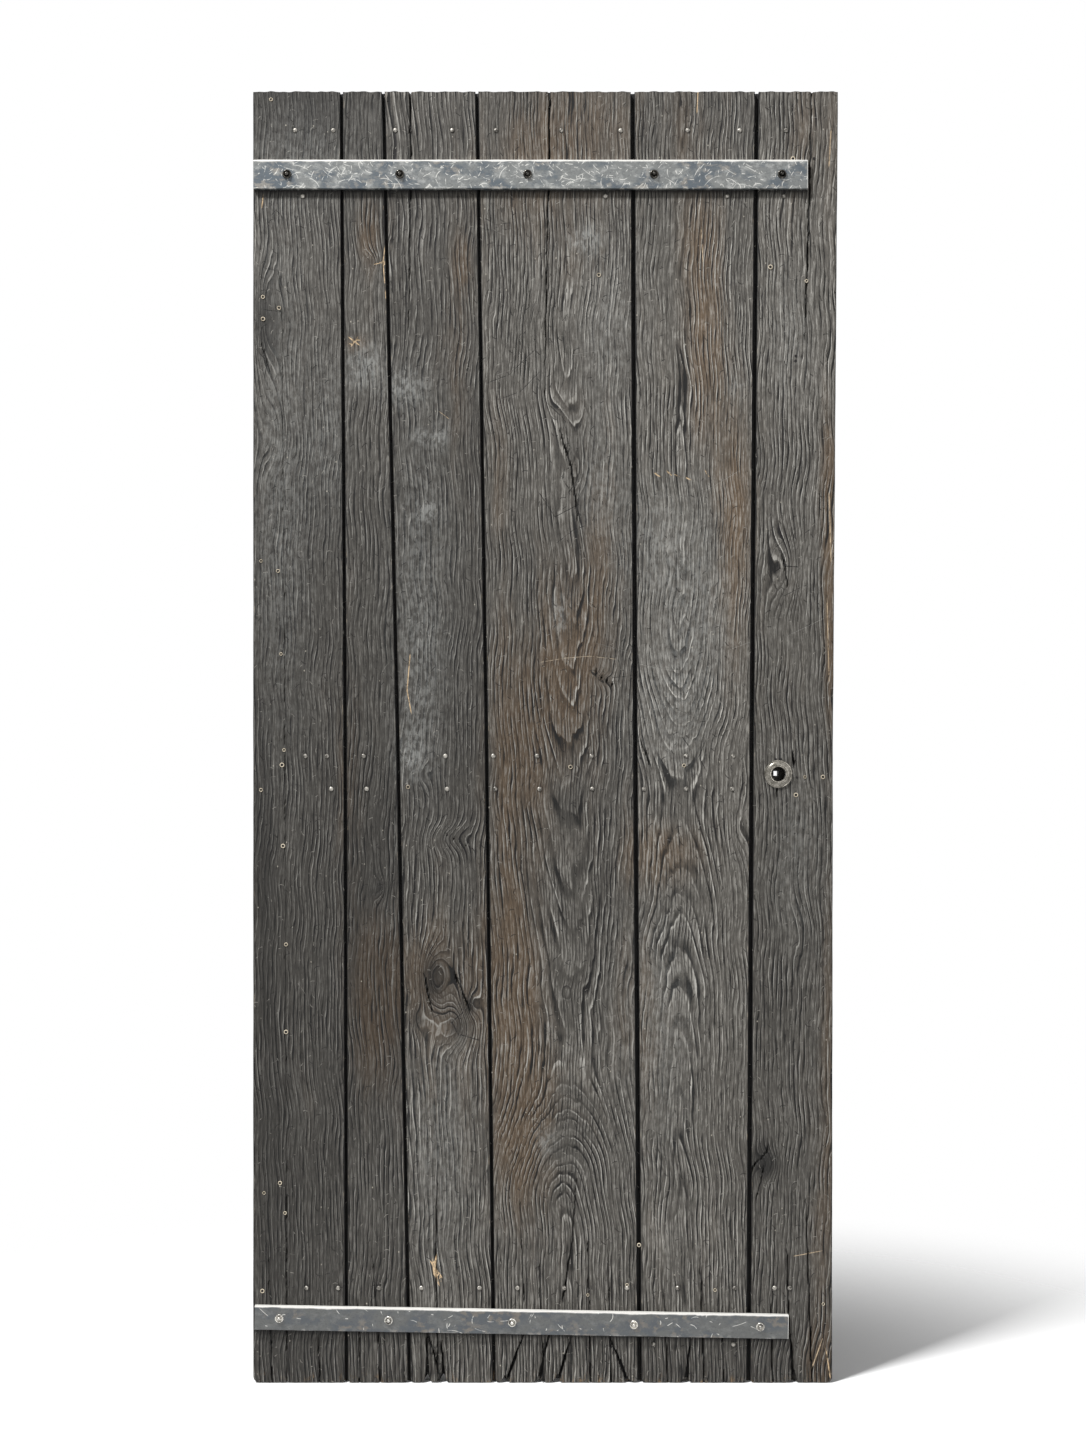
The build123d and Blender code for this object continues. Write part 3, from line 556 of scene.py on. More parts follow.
def crack_field(number, x, z):
    """Offset from the nearest crack's middle and its half width there, below nought where there is none."""
    rows = blank_lines(x)
    lines = []
    for *pixels, halves in CRACKS[number]:
        places, levels = [place(p[0]) for p in pixels], [level(p[1]) for p in pixels]
        lines.append((places[::-1], levels[::-1], halves[::-1]))
    for board, mouth, tip, top in FOOT_SPLITS:
        if board == number:
            lines.append(([mouth, tip], [-2.0, top], (3.4, 0.6)))
    if HEAD_SPLIT[0] == number:
        mouth, tip, length = HEAD_SPLIT[1:]
        lines.append(([tip, mouth], [HEIGHT - length, HEIGHT + 2], (0.4, 1.8)))
    for places, levels, halves in lines:
        middle = np.interp(z, levels, places) + wander(z, 1.0, 60, places[0])
        half = np.interp(z, levels, halves) * (0.8 + 0.2 * np.sin(z / 7.0 + places[0]))
        beyond = np.maximum(np.maximum(levels[0] - z, z - levels[-1]), 0)
        draw_line(rows, x - middle, half - beyond * 0.12)
    return np.clip(rows[0], -8, 8), np.clip(rows[1], -2, 4)


def scratch_field(x, z):
    """Offset from the nearest scratch, its half width and its shine."""
    rows = blank_lines(x)
    for *pixels, (half, shine) in SCRATCHES:
        ends = [(place(p[0]), level(p[1])) for p in pixels]
        for (x0, z0), (x1, z1) in zip(ends, ends[1:]):
            length = math.hypot(x1 - x0, z1 - z0)
            ux, uz = (x1 - x0) / length, (z1 - z0) / length
            run = (x - x0) * ux + (z - z0) * uz
            away = (x - x0) * uz - (z - z0) * ux
            beyond = np.maximum(np.maximum(-run, run - length), 0)
            draw_line(rows, away, half - beyond * 0.25, shine)
    return np.clip(rows[0], -8, 8), np.clip(rows[1], -2, 4), rows[2]


print("scratches", len(SCRATCHES))

# %% Stains, smudges, tone and painted shade
# patches as pixels (x, y), half width and half height in pixels, strength
BROWN = ((515, 755, 20, 80, 0.75), (512, 1000, 22, 100, 1.0), (520, 1120, 22, 60, 0.5),
         (420, 970, 50, 40, 0.55),
         (376, 1010, 14, 60, 0.9), (350, 780, 9, 80, 0.5), (665, 855, 34, 26, 0.75), (735, 530, 13, 90, 0.8),
         (705, 335, 16, 80, 0.7), (700, 235, 12, 30, 0.6), (460, 330, 16, 120, 0.35), (545, 130, 40, 40, 0.45),
         (600, 130, 26, 50, 0.35), (370, 230, 10, 26, 0.8), (462, 262, 5, 16, 0.9), (550, 700, 26, 60, 0.4),
         (602, 600, 20, 120, 0.45), (566, 640, 20, 90, 0.4), (640, 1010, 20, 70, 0.4), (810, 130, 26, 60, 0.4),
         (830, 500, 7, 60, 0.9), (830, 640, 5, 60, 0.8), (822, 1362, 14, 26, 1.0), (829, 1000, 5, 200, 0.35),
         (585, 250, 30, 40, 0.3), (520, 200, 30, 40, 0.35), (500, 470, 10, 60, 0.4), (820, 1200, 12, 120, 0.35),
         (355, 345, 8, 8, 0.8), (536, 1180, 26, 60, 0.3), (440, 1060, 20, 60, 0.3), (690, 130, 30, 40, 0.3))
PALE = ((365, 365, 12, 14, 0.9), (405, 388, 15, 12, 0.8), (440, 437, 5, 8, 0.9), (420, 437, 6, 5, 0.7),
        (427, 510, 7, 9, 0.7), (585, 240, 10, 9, 1.0), (545, 1140, 6, 10, 0.6), (560, 615, 6, 14, 0.8),
        (410, 755, 9, 14, 0.7), (655, 545, 22, 40, 0.55), (670, 700, 26, 50, 0.45), (735, 385, 6, 9, 0.4),
        (280, 480, 20, 160, 0.35), (420, 560, 20, 90, 0.35), (420, 700, 16, 60, 0.4), (330, 430, 14, 60, 0.3),
        (440, 1150, 20, 70, 0.35), (600, 480, 16, 40, 0.35), (795, 850, 16, 60, 0.25), (655, 1020, 24, 80, 0.3),
        (300, 160, 40, 30, 0.25), (700, 600, 20, 60, 0.4), (790, 330, 14, 40, 0.3), (610, 330, 20, 50, 0.3))
DARK = ((268, 340, 14, 30, 0.5), (270, 1010, 16, 200, 0.5), (543, 1340, 290, 40, 0.35),
        (590, 1000, 30, 60, 0.2),
        (440, 985, 34, 34, 0.45), (585, 440, 16, 46, 0.35), (760, 1160, 12, 18, 0.9), (800, 1120, 22, 120, 0.2),
        (786, 690, 10, 60, 0.3), (430, 140, 14, 30, 0.3), (262, 820, 8, 120, 0.4), (360, 880, 24, 100, 0.3),
        (780, 1000, 14, 60, 0.25), (600, 900, 20, 60, 0.2), (300, 1230, 34, 120, 0.35), (268, 300, 10, 30, 0.5))
# board: where it turns lighter or darker on its way down, and its tone there against the middle grey
TONES = {
    1: ((95, 0.26), (270, 0.80), (480, 0.55), (1383, 0.43)),
    2: ((95, 0.38), (280, 0.78), (880, 0.40), (1220, 0.54)),
    3: ((95, 0.70), (720, 0.52), (1060, 0.86), (1383, 0.76)),
    4: ((95, 0.74), (300, 1.04), (760, 0.76), (1020, 0.94), (1383, 0.80)),
    5: ((95, 0.68), (290, 1.02), (700, 1.18), (1250, 0.96), (1383, 0.54)),
    6: ((95, 0.96), (290, 1.18), (800, 0.80), (1250, 0.78), (1383, 0.52)),
}


def patches(table, x, z):
    total = np.zeros_like(x)
    for px, py, half_x, half_y, strength in table:
        away = oval(x, z, place(px), level(py), half_x * PIXEL, half_y * PIXEL)
        total += strength * np.exp(-away / 2)
    return np.clip(total, 0, 1.2)


def tone_at(number, z):
    return smooth_line(z, sorted((level(py), tone) for py, tone in TONES[number]))


def write_field(mesh, name, columns):
    field = mesh.attributes.new(name, "FLOAT_VECTOR", "POINT")
    field.data.foreach_set("vector", np.column_stack(columns).astype(np.float32).ravel())


def read_points(mesh):
    points = np.empty(len(mesh.vertices) * 3, np.float32)
    mesh.vertices.foreach_get("co", points)
    points = points.reshape(-1, 3).astype(float) / MM
    return points[:, 0] + WIDTH / 2, points[:, 1], points[:, 2]


# rows of nails: places across, then the row's level
NAIL_ROWS = {
    "top_ledge_nails": (((67, 127, 225, 315, 384, 487, 581, 687, 769, 842), 1978.0),
                        ((79, 557, 749, 838), 1874.0)),
    "middle_ledge_nails": (((83, 117, 175, 304, 380, 449, 535, 684, 759), 990.0),
                           ((124, 180, 307, 383, 453, 536, 618, 684, 757), 938.0)),
    "bottom_ledge_nails": (((85, 135, 199, 266, 358, 418, 492, 591, 671, 761, 824, 848), 150.0),
                           ((633, 759), 61.0)),
}


STRAP_SHADE_FADE = 9.0
GRAIN_SHIFT = 900


def nail_stain(x, z):
    """Iron turns the wood black round each nail."""
    stain = np.zeros_like(x)
    for line, height in (row for rows in NAIL_ROWS.values() for row in rows):
        near = np.abs(z - height) < 30
        for place_x in line:
            stain[near] += np.exp(-oval(x[near], z[near], place_x, height + 1.0, 4.5, 6.5))
    return stain


def painted_shade_under_straps(x, z):
    """A thin dark line under each strap: painted shade, with some grime gathered there too."""
    lines = []
    for start, end, centre, height, droop in STRAPS.values():
        below = centre - height / 2 - (x - start) * math.tan(droop) - z
        lines.append(np.where((below > -3) & (x < end), np.clip(1 - below / STRAP_SHADE_FADE, 0, 1), 0))
    return np.maximum(*lines)


def mark_board(piece, number):
    """Writes a board's fields: grain, state, stain (its dark part also holds painted shade), crack and scratch.
    """
    mesh = piece.data
    x, y, z = read_points(mesh)
    heart_x, heart_y, push = rings(number, x, z)
    on_front = (y < FRONT + 0.3).astype(float)
    on_back = (y > BACK - 0.3).astype(float)
    left, right = board_edges(number, z)
    edge = np.minimum(np.minimum(x - left, right - x), np.minimum(z, HEIGHT - z))
    write_field(mesh, "grain", (x - heart_x, y - heart_y, z + GRAIN_SHIFT * number))
    write_field(mesh, "state", (push, tone_at(number, z), np.maximum(on_front, on_back)))
    knots = sum(dark * np.exp(-oval(x, z, *shape) * 1.1) for *shape, _, dark in KNOTS[number])
    # Painted shade: the sides of the board, which lie in the joints, are made near black; the line under the
    # straps is painted shade too.
    sides = (1 - on_front) * (1 - on_back) * ((z > 1) & (z < HEIGHT - 1)) * 1.5
    dark = patches(DARK, x, z) + knots + 1.4 * painted_shade_under_straps(x, z) + 0.9 * nail_stain(x, z)
    dark = np.maximum(dark * on_front, sides)
    write_field(mesh, "stain", (patches(BROWN, x, z) * on_front, patches(PALE, x, z) * on_front, dark))
    offset, half = crack_field(number, x, z)
    opened = (on_front > 0) | (z < FOOT_SPLIT_TOP) | (z > HEIGHT - HEAD_SPLIT[3])
    write_field(mesh, "crack", (offset, np.where(opened, half, NO_LINE[1]), edge))
    offset, half, shine = scratch_field(x, z)
    write_field(mesh, "scratch", (offset, np.where(on_front > 0, half, NO_LINE[1]), shine))


print("fields ready")

# %% [markdown]
# ## How the rings run
# Frost, sun and rain wash out the soft early wood, so the hard late wood stands up as fine ridges and the rest
# turns into dark furrows. The colour deepens the furrows with painted shade and lights the ridges with a painted
# highlight. The same sum of ring distance and slow noise drives the colour and the relief, so a furrow is always
# where the dark line is.

# %% Ring maths, shared by the relief and the finish
RING, FIBRE = 5.6, 4.7


def ring_distance(bench, side, deep, along, push):
    """Millimetres from the heart of the tree, with the small faults of a grown tree."""
    radius = (side * side + deep * deep).math("SQRT") + push
    slow = bench.noise(side / 60, deep / 60, along / 420, detail=1.0)
    quick = bench.noise(side / 16, deep / 16, along / 240, detail=1.0)
    return radius + (slow - 0.5) * 6 + (quick - 0.5) * 1.1


def ring_noise(bench, radius, along, ring_size, run, detail=2.0, seed=0.0):
    """Streaks that follow the rings: ring_size across them, run along them."""
    return bench.noise(radius / ring_size, along / run, seed, detail=detail)


print("ring width", RING, "mm")

# %% Relief tree


def new_tree(name, result, inputs):
    """An empty tree with its sockets: the tree, its bench, what comes in and the node for what goes out."""
    tree = bpy.data.node_groups.new(name, "GeometryNodeTree")
    for title, kind in inputs:
        tree.interface.new_socket(title, in_out="INPUT", socket_type="NodeSocket" + kind)
    tree.interface.new_socket(result, in_out="OUTPUT", socket_type="NodeSocketGeometry")
    bench = Bench(tree)
    return tree, bench, bench.add("NodeGroupInput").outputs, bench.add("NodeGroupOutput")


def hand_out(bench, geometry, finish, exit_node):
    """Makes copies real, dresses them in a finish and sends them out of the tree."""
    whole = bench.add("GeometryNodeRealizeInstances", inputs={"Geometry": geometry})
    dressed = bench.add("GeometryNodeSetMaterial", inputs={"Geometry": whole.outputs[0], "Material": finish})
    bench.feed(exit_node.inputs[0], dressed.outputs[0])


def relief_tree():
    """Sinks the soft wood, the knots' rims and the cracks below the board's face."""
    inputs = (("Board", "Geometry"), ("Furrow depth", "Float"), ("Crack depth", "Float"),
              ("Finish", "Material"))
    tree, bench, entry, exit_node = new_tree("weathered_relief", "Board", inputs)

    def field(name):
        settings = {"data_type": "FLOAT_VECTOR"}
        node = bench.add("GeometryNodeInputNamedAttribute", settings, {"Name": name})
        return bench.parts(node.outputs["Attribute"])

    push, _, face = field("state")
    _, _, dark = field("stain")
    offset, half, edge = field("crack")
    side, deep, along = field("grain")
    radius = ring_distance(bench, side, deep, along, push)
    broad = ring_noise(bench, radius, along, 11.0, 150.0)
    fine = ring_noise(bench, radius, along, 4.2, 60.0)
    furrow = broad.rise(0.36, 0.66) * 0.6 + fine.rise(0.4, 0.6) * 0.4
    depth = bench.value(entry["Furrow depth"])
    crack_depth = bench.value(entry["Crack depth"])
    open_crack = (half - offset.math("ABSOLUTE")).rise(-0.6, 1.2)
    worn_edge = edge.fall(0.0, 5.0) * bench.noise(along / 30, edge / 12).rise(0.5, 0.75)
    sink = (1 - furrow) * depth + open_crack * crack_depth + dark.rise(0.3, 1.2) * 0.4 + worn_edge * 0.5
    normal = bench.add("GeometryNodeInputNormal").outputs[0]
    move = {0: normal, "Scale": sink * face * -MM}
    step = bench.add("ShaderNodeVectorMath", {"operation": "SCALE"}, move).outputs[0]
    moved = bench.add("GeometryNodeSetPosition", inputs={"Geometry": entry["Board"], "Offset": step})
    hand_out(bench, moved.outputs[0], entry["Finish"], exit_node)
    return tree


def grow(holder, tree, settings, name):
    """Runs a tree on a holder once and keeps the result as a plain mesh."""
    modifier = holder.modifiers.new("tree", "NODES")
    modifier.node_group = tree
    for item in tree.interface.items_tree:
        if item.in_out == "INPUT" and item.name in settings:
            modifier[item.identifier] = settings[item.name]
    bpy.context.view_layer.update()
    ready = holder.evaluated_get(bpy.context.evaluated_depsgraph_get())
    mesh = bpy.data.meshes.new_from_object(ready)
    mesh.name = name
    bpy.data.objects.remove(holder)
    return put(name, mesh)


weathered_relief = relief_tree()
print("relief tree nodes", len(weathered_relief.nodes))

# %% [markdown]
# ## Weathered wood
# Old oak that was once stained goes grey outside, stays brown in its hollows, and shows pale raw wood where it
# is chipped. The finish is layered in that order: grey by ring, with painted shade in the furrows and a painted
# highlight on the ridges, board tone, brown and pale patches, grime and painted shade under the straps and on
# the board sides, painted shade near black at the edges and in the cracks, then scratches. Roughness and the
# fine relief come from the same ring lines.

# %% Furrows and nicks


def furrows(bench, run, along, width, seed):
    """Thin dark furrows that come and go along the grain, deepened with painted shade, and beside each a pale
    line of painted highlight.
    """
    wobble = bench.noise(run / (width * 2.4), along / 170, seed) - 0.5
    phase = run / width + wobble * 0.9
    saw = phase.math("FRACT")
    count = phase.math("FLOOR")
    depth = bench.noise(count * 0.71, along / 75, seed + 5).rise(0.36, 0.64)
    furrow = saw.rise(0.0, 0.08) * saw.fall(0.16, 0.5) * (depth * 0.85 + 0.15)
    ridge_highlight = saw.rise(0.76, 0.92) * depth
    return furrow, ridge_highlight


def nicks(bench, across_grain, along, cell, length, width, share, spread, lean, seed):
    """One short bent stroke in each cell of a scattered grid: knocks, fine scratches and worm marks."""
    u = across_grain / cell + seed
    v = along / cell
    settings = {"voronoi_dimensions": "2D", "feature": "F1"}
    node = bench.add("ShaderNodeTexVoronoi", settings, {"Vector": bench.vector(u, v), "Scale": 1.0})
    middle_u, middle_v, _ = bench.parts(node.outputs["Position"])
    pick, angle, size = bench.parts(node.outputs["Color"])
    du, dv = (u - middle_u) * cell, (v - middle_v) * cell
    turn = (angle - 0.5) * spread + lean
    cosine, sine = turn.math("COSINE"), turn.math("SINE")
    run = du * cosine + dv * sine
    away = dv * cosine - du * sine + (size - 0.5) * run * run * (1.6 / length)
    stroke = (away.math("ABSOLUTE") - size * width * 0.2).fall(width * 0.3, width * 0.7)
    ends = (run.math("ABSOLUTE") / (size * 0.7 + 0.3)).fall(length * 0.38, length * 0.52)
    return stroke * ends * pick.rise(1 - share, 1.001 - share)


# %% Wood finish


def wood_finish(name, low, middle, high, warm, contrast=1.0):
    """Grey by ring with painted shade in the furrows and painted highlight on the ridges, then stains, grime and
    painted shade, edges painted near black as shade, chips, cracks painted near black as shade, nicks, scratches
    and flecks in that order.
    """
    material, bench, shader = new_material(name)
    side, deep, along = bench.attribute("grain")
    push, tone, _ = bench.attribute("state")
    brown, pale, dark = bench.attribute("stain")
    offset, half, edge = bench.attribute("crack")
    scratch, scratch_half, shine = bench.attribute("scratch")
    radius = ring_distance(bench, side, deep, along, push)
    above_floor = bench.spot()[2]

    # The dark of the furrows is grain colour with painted shade in it; the pale ridges beside them are painted
    # highlight.
    ring_furrow, ring_highlight = furrows(bench, radius, along, RING, 1.0)
    bend = bench.noise(side / 30, deep / 30, along / 300, detail=1.0) * 9
    fibre_furrow, fibre_highlight = furrows(bench, side + bend + push * 0.6, along, FIBRE, 30.0)
    lean = side.math("ABSOLUTE") / radius.math("MAXIMUM", 1.0)
    flat_sawn = lean.fall(0.35, 0.8)
    steep = lean.rise(0.03, 0.28) * 0.6 + 0.4
    furrow = (ring_furrow * steep).math("MAXIMUM", fibre_furrow * (flat_sawn * 0.55 + 0.3))
    ridge_highlight = (ring_highlight * steep).math("MAXIMUM", fibre_highlight * (flat_sawn * 0.4 + 0.2))
    plain = bench.noise(side / 34, deep / 34, along / 190, rough=0.55)
    foot = above_floor.fall(10, 130)
    depth = plain.rise(0.34, 0.62) * 0.65 + 0.35 + foot * 0.45

    fibre = ring_noise(bench, side + bend, along, 1.3, 22.0, 3.0, 4.0)
    streak = ring_noise(bench, radius, along, 5.0, 120.0, 2.0, 8.0)
    broad = ring_noise(bench, radius, along, 26.0, 420.0, 2.0, 12.0)
    blotch = bench.noise(side / 70, deep / 70, along / 130, detail=3.0, rough=0.6)
    grime = bench.noise(side / 7, deep / 7, along / 12, detail=3.0, rough=0.65)
    pore = ring_noise(bench, side + bend, along, 1.2, 8.0, 1.0, 20.0).rise(0.66, 0.72)
    pale_nick = nicks(bench, side, along, 17.0, 9.0, 0.75, 0.42, 3.1, 0.8, 3.0)
    dark_nick = nicks(bench, side, along, 21.0, 11.0, 0.9, 0.45, 2.6, 1.4, 11.0)
    long_nick = nicks(bench, side, along, 90.0, 60.0, 0.6, 0.4, 2.2, 0.2, 19.0)

    height = (0.53 + (fibre - 0.5) * 0.85 + (streak - 0.5) * 0.32 + (blotch - 0.5) * 0.2 + ridge_highlight * depth * 0.5
              - furrow * depth * 0.85 * contrast - pore * 0.25 + (grime - 0.5) * 0.34)
    height = height.math("MAXIMUM", 0.0)
    grey = bench.ramp(height, ((0.0, low), (0.5, middle), (1.0, high)))
    warm_grey = bench.ramp(height, ((0.0, low), (0.5, warm), (1.0, high)))
    warmth = brown * 1.1 + (broad - 0.5) * 0.9 + (blotch - 0.5) * 0.5 - 0.06
    warmth = (warmth + (streak - 0.5) * 0.35).rise(0.0, 0.9)
    colour = bench.blend(warmth, grey, warm_grey)
    lightness = tone * (0.86 + broad * 0.28)
    shade = bench.add("ShaderNodeVectorMath", {"operation": "SCALE"},
                      {0: colour, "Scale": lightness}).outputs[0]

    chalk = pale * (0.25 + grime.rise(0.4, 0.62) * 1.1)
    smudge = (chalk + (blotch - 0.62).math("MAXIMUM", 0.0) * 0.6).math("MINIMUM", 1.0)
    shade = bench.coat(smudge * 0.46, shade, 158, 159, 156)
    # Stains and grime, together with the painted shade of the board sides and of the line under the straps.
    dirt_and_shade = (dark * (0.45 + grime * 0.7)).rise(0.05, 1.0)
    shade = bench.coat(dirt_and_shade * 0.85, shade, 16, 15, 14)

    chip = edge.rise(0.6, 1.2) * edge.fall(1.2, 2.4)
    chip = chip.math("MAXIMUM", above_floor.fall(3.0, 12.0)) * (grime * 0.7 + fibre * 0.6).rise(0.7, 0.86)
    # Painted shade: near black along every board edge and end, where the joints fall in shade.
    shade = bench.coat(edge.fall(0.5, 1.3) * 0.94, shade, 10, 9, 9)
    shade = bench.coat(chip * 0.6, shade, 150, 136, 116)
    rot = above_floor.fall(8.0, 60.0) * (blotch * 0.5 + grime * 0.6).rise(0.5, 0.66)
    shade = bench.coat(rot * 0.55, shade, 34, 30, 26)
    crumb = above_floor.fall(2.0, 20.0) * (grime * 0.6 + fibre * 0.5).rise(0.58, 0.68) * broad.rise(0.45, 0.6)
    shade = bench.coat(crumb * 0.7, shade, 126, 104, 78)

    # Inside each crack the colour is near black: painted shade in the opening. A darker band follows its lips.
    slit = (half - offset.math("ABSOLUTE")).rise(-0.35, 0.35)
    rim = (half + 1.3 - offset.math("ABSOLUTE")).rise(0.0, 1.0) * half.rise(-0.2, 0.4)
    shade = bench.coat(rim * 0.35, shade, 40, 38, 35)
    shade = bench.coat(slit, shade, 9, 8, 8)

    shade = bench.coat(pale_nick * grime.rise(0.4, 0.6) * 0.6, shade, 158, 154, 146)
    shade = bench.coat(dark_nick * 0.7, shade, 24, 22, 20)
    shade = bench.coat(long_nick * grime.rise(0.44, 0.6) * 0.4, shade, 150, 147, 140)
    broken = grime.rise(0.32, 0.56)
    mark = (scratch_half - scratch.math("ABSOLUTE")).rise(-0.25, 0.3) * broken
    raw = bench.blend(shine.rise(0.6, 0.9), linear(150, 148, 142), linear(205, 178, 142))
    shade = bench.blend(mark * shine, shade, raw)
    shade = bench.coat(mark * -1.0 * shine, shade, 12, 11, 10)

    fleck = bench.add("ShaderNodeTexVoronoi", {"feature": "F1"},
                      {"Vector": bench.vector(side / 11, deep / 11, along / 15), "Scale": 1.0})
    dot = bench.value(fleck.outputs["Distance"]).fall(0.05, 0.12)
    pick, other, _ = bench.parts(fleck.outputs["Color"])
    dark_dot = dot * other.rise(0.84, 0.88)
    shade = bench.coat(dot * pick.rise(0.86, 0.9) * 0.8, shade, 168, 162, 150)
    shade = bench.coat(dark_dot * 0.8, shade, 18, 16, 15)
    bench.feed(shader.inputs["Base Color"], shade)

    bench.feed(shader.inputs["Roughness"], 0.64 + (grime - 0.5) * 0.18 + furrow * 0.16 - smudge * 0.06)
    shader.inputs["Specular IOR Level"].default_value = 0.32
    relief = height - slit * 2.2 - rim * 0.4 - mark * 0.5 - dark_nick * 0.7 - pale_nick * 0.35 - dark_dot * 0.5
    bench.bump(shader, 1.0, 0.0013, relief)
    return material


weathered_boards = wood_finish("weathered_boards", linear(14, 13, 12), linear(86, 83, 78),
                               linear(180, 177, 170),
                               linear(94, 80, 65))
ledge_wood = wood_finish("ledge_wood", linear(34, 29, 24), linear(98, 88, 75), linear(160, 148, 129),
                         linear(104, 86, 66), 0.8)
print("wood finishes", weathered_boards.name, ledge_wood.name)

# %% Cutting tool


def cut(piece, cutters):
    """Cuts closed shapes out of a piece and throws the shapes away."""
    for cutter in cutters:
        knife = piece.modifiers.new("cut", "BOOLEAN")
        knife.operation = "DIFFERENCE"
        knife.solver = "EXACT"
        knife.object = cutter
    bpy.context.view_layer.update()
    ready = piece.evaluated_get(bpy.context.evaluated_depsgraph_get())
    mesh = bpy.data.meshes.new_from_object(ready)
    piece.modifiers.clear()
    piece.data = mesh
    for cutter in cutters:
        bpy.data.objects.remove(cutter)


def loose(name, work):
    """Makes an object from a bmesh."""
    mesh = bpy.data.meshes.new(name)
    work.to_mesh(mesh)
    work.free()
    return put(name, mesh)


def turned(name, profile, sides, centre=(0.0, 0.0)):
    """Turned shape about an axis that points to the front: (radius, depth) pairs in millimetres."""
    work = bmesh.new()
    angles = [2 * math.pi * i / sides for i in range(sides)]
    rings_made = []
    for radius, depth in profile:
        if radius < 1e-6:
            rings_made.append([work.verts.new((centre[0] * MM, depth * MM, centre[1] * MM))])
        else:
            rings_made.append([work.verts.new(((centre[0] + radius * math.cos(a)) * MM, depth * MM,
                                               (centre[1] + radius * math.sin(a)) * MM)) for a in angles])
    pairs = list(zip(rings_made, rings_made[1:]))
    if len(rings_made[0]) > 1 and len(rings_made[-1]) > 1:
        pairs.append((rings_made[-1], rings_made[0]))
    for one, two in pairs:
        for i in range(sides):
            j = (i + 1) % sides
            corners = [one[i % len(one)], one[j % len(one)], two[j % len(two)], two[i % len(two)]]
            kept = list(dict.fromkeys(corners))
            if len(kept) > 2:
                work.faces.new(kept)
    face_out(work)
    return loose(name, work)


def loft(name, sections):
    """Closed skin through a row of equal rings of points, given in millimetres."""
    work = bmesh.new()
    made = [[work.verts.new([part * MM for part in point]) for point in section] for section in sections]
    for one, two in zip(made, made[1:]):
        for i in range(len(one)):
            j = (i + 1) % len(one)
            work.faces.new((one[i], one[j], two[j], two[i]))
    work.faces.new(made[0])
    work.faces.new(made[-1][::-1])
    face_out(work)
    return loose(name, work)


def raised(profile, base=FRONT):
    """Turns (radius, height above a face) pairs into (radius, depth) pairs."""
    return [(radius, base - up) for radius, up in profile]


def fasten(piece, body, finish, *nodes):
    """Ties a piece to its body and the nodes it replaces."""
    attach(piece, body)
    if nodes:
        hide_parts(*nodes)
    print(piece.name, len(piece.data.polygons), "faces")


print("tools ready")

# %% [markdown]
# ### The six boards
# The face is laid out in strips two millimetres wide, which is enough to carry cracks and furrows, while the
# back gets wider strips. Sawing each board as one closed skin keeps its tongue and groove in the same piece.

# %% Ends that were never planed
NOTCH_HALF, NOTCH_HIGH = 5.5, 13.0


def wear_ends(mesh, number):
    """The ends rise and fall by a millimetre, and rise further where a split comes out."""
    mouths = [mouth for board, mouth, _, _ in FOOT_SPLITS if board == number]
    for point in mesh.vertices:
        x, z = point.co.x / MM + WIDTH / 2, point.co.z / MM
        uneven = 0.5 + 0.5 * math.sin(x / 4.3 + number) * math.sin(x / 11.0 + 2 * number)
        low, high = max(0.0, 1 - z / 24), max(0.0, 1 - (HEIGHT - z) / 6)
        gaps = [abs(x - mouth) - NOTCH_HALF for mouth in mouths]
        near = max([0.0] + [-gap / NOTCH_HALF for gap in gaps])
        rounding = max([0.0] + [1 - gap / 12 for gap in gaps if gap > 0])
        lift = 1.5 * uneven + NOTCH_HIGH * near ** 0.6 + 1.8 * rounding ** 2
        point.co.z += (lift * low - 1.6 * uneven * high) * MM


print("splits at the foot", len(FOOT_SPLITS))

# %% Make the boards
BOARD_ROWS = np.unique(np.concatenate([[0, 1, 2, 3, 4, 6, 9], np.linspace(12, 2034, 390), [2037, HEIGHT]]))
for number in range(1, 7):
    left, right = board_edges(number, BOARD_ROWS)
    columns = int(round((right[0] - left[0]) / 2.0)) + 1
    back_columns = int(round((right[0] - left[0]) / 8.0)) + 1
    sections = [board_section(number, a, b, columns, back_columns) for a, b in zip(left, right)]
    blank = swept(f"board_{number}_blank", BOARD_ROWS, sections, "z")
    wear_ends(blank.data, number)
    if number == 6:
        core = ((0, -40), (12.45, -40), (12.45, 40), (0, 40))
        cut(blank, [turned("hole", core, 48, (across(SPINDLE_PLACE), SPINDLE_LEVEL))])
    mark_board(blank, number)
    settings = {"Furrow depth": 0.5, "Crack depth": 7.0, "Finish": weathered_boards}
    board = grow(blank, weathered_relief, settings, f"old_board_{number}")
    fasten(board, "leaf", "weathered_boards", f"board_{number}")

# %% [markdown]
# ## Ledges
# Three thick boards lie across the back, with their back edges planed off at a slant. They are made by the same
# sweep as the upright boards, turned so that the grain runs across the door, and carry the same fields.

# %% Make the ledges
LEDGE_BEVEL = 5.0
# ledge: start, end, level of its middle, height, seed
LEDGES = {
    "top_ledge": (20.0, 905.0, 1926.5, 143.0, 61),
    "middle_ledge": (20.0, 772.0, 964.5, 95.0, 62),
    "bottom_ledge": (20.0, 895.5, 106.0, 122.0, 63),
}


def ledge_section(low, high, inward, columns):
    """Outline of a ledge cut across, with its back drawn in by the bevel near its ends."""
    flat = high - low - 2 * LEDGE_BEVEL
    points = [(low, BACK), (low, LEDGE_BACK - LEDGE_BEVEL)]
    points += [(low + LEDGE_BEVEL + flat * t, LEDGE_BACK - inward) for t in np.linspace(0, 1, columns)]
    points += [(high, LEDGE_BACK - LEDGE_BEVEL), (high, BACK)]
    return points


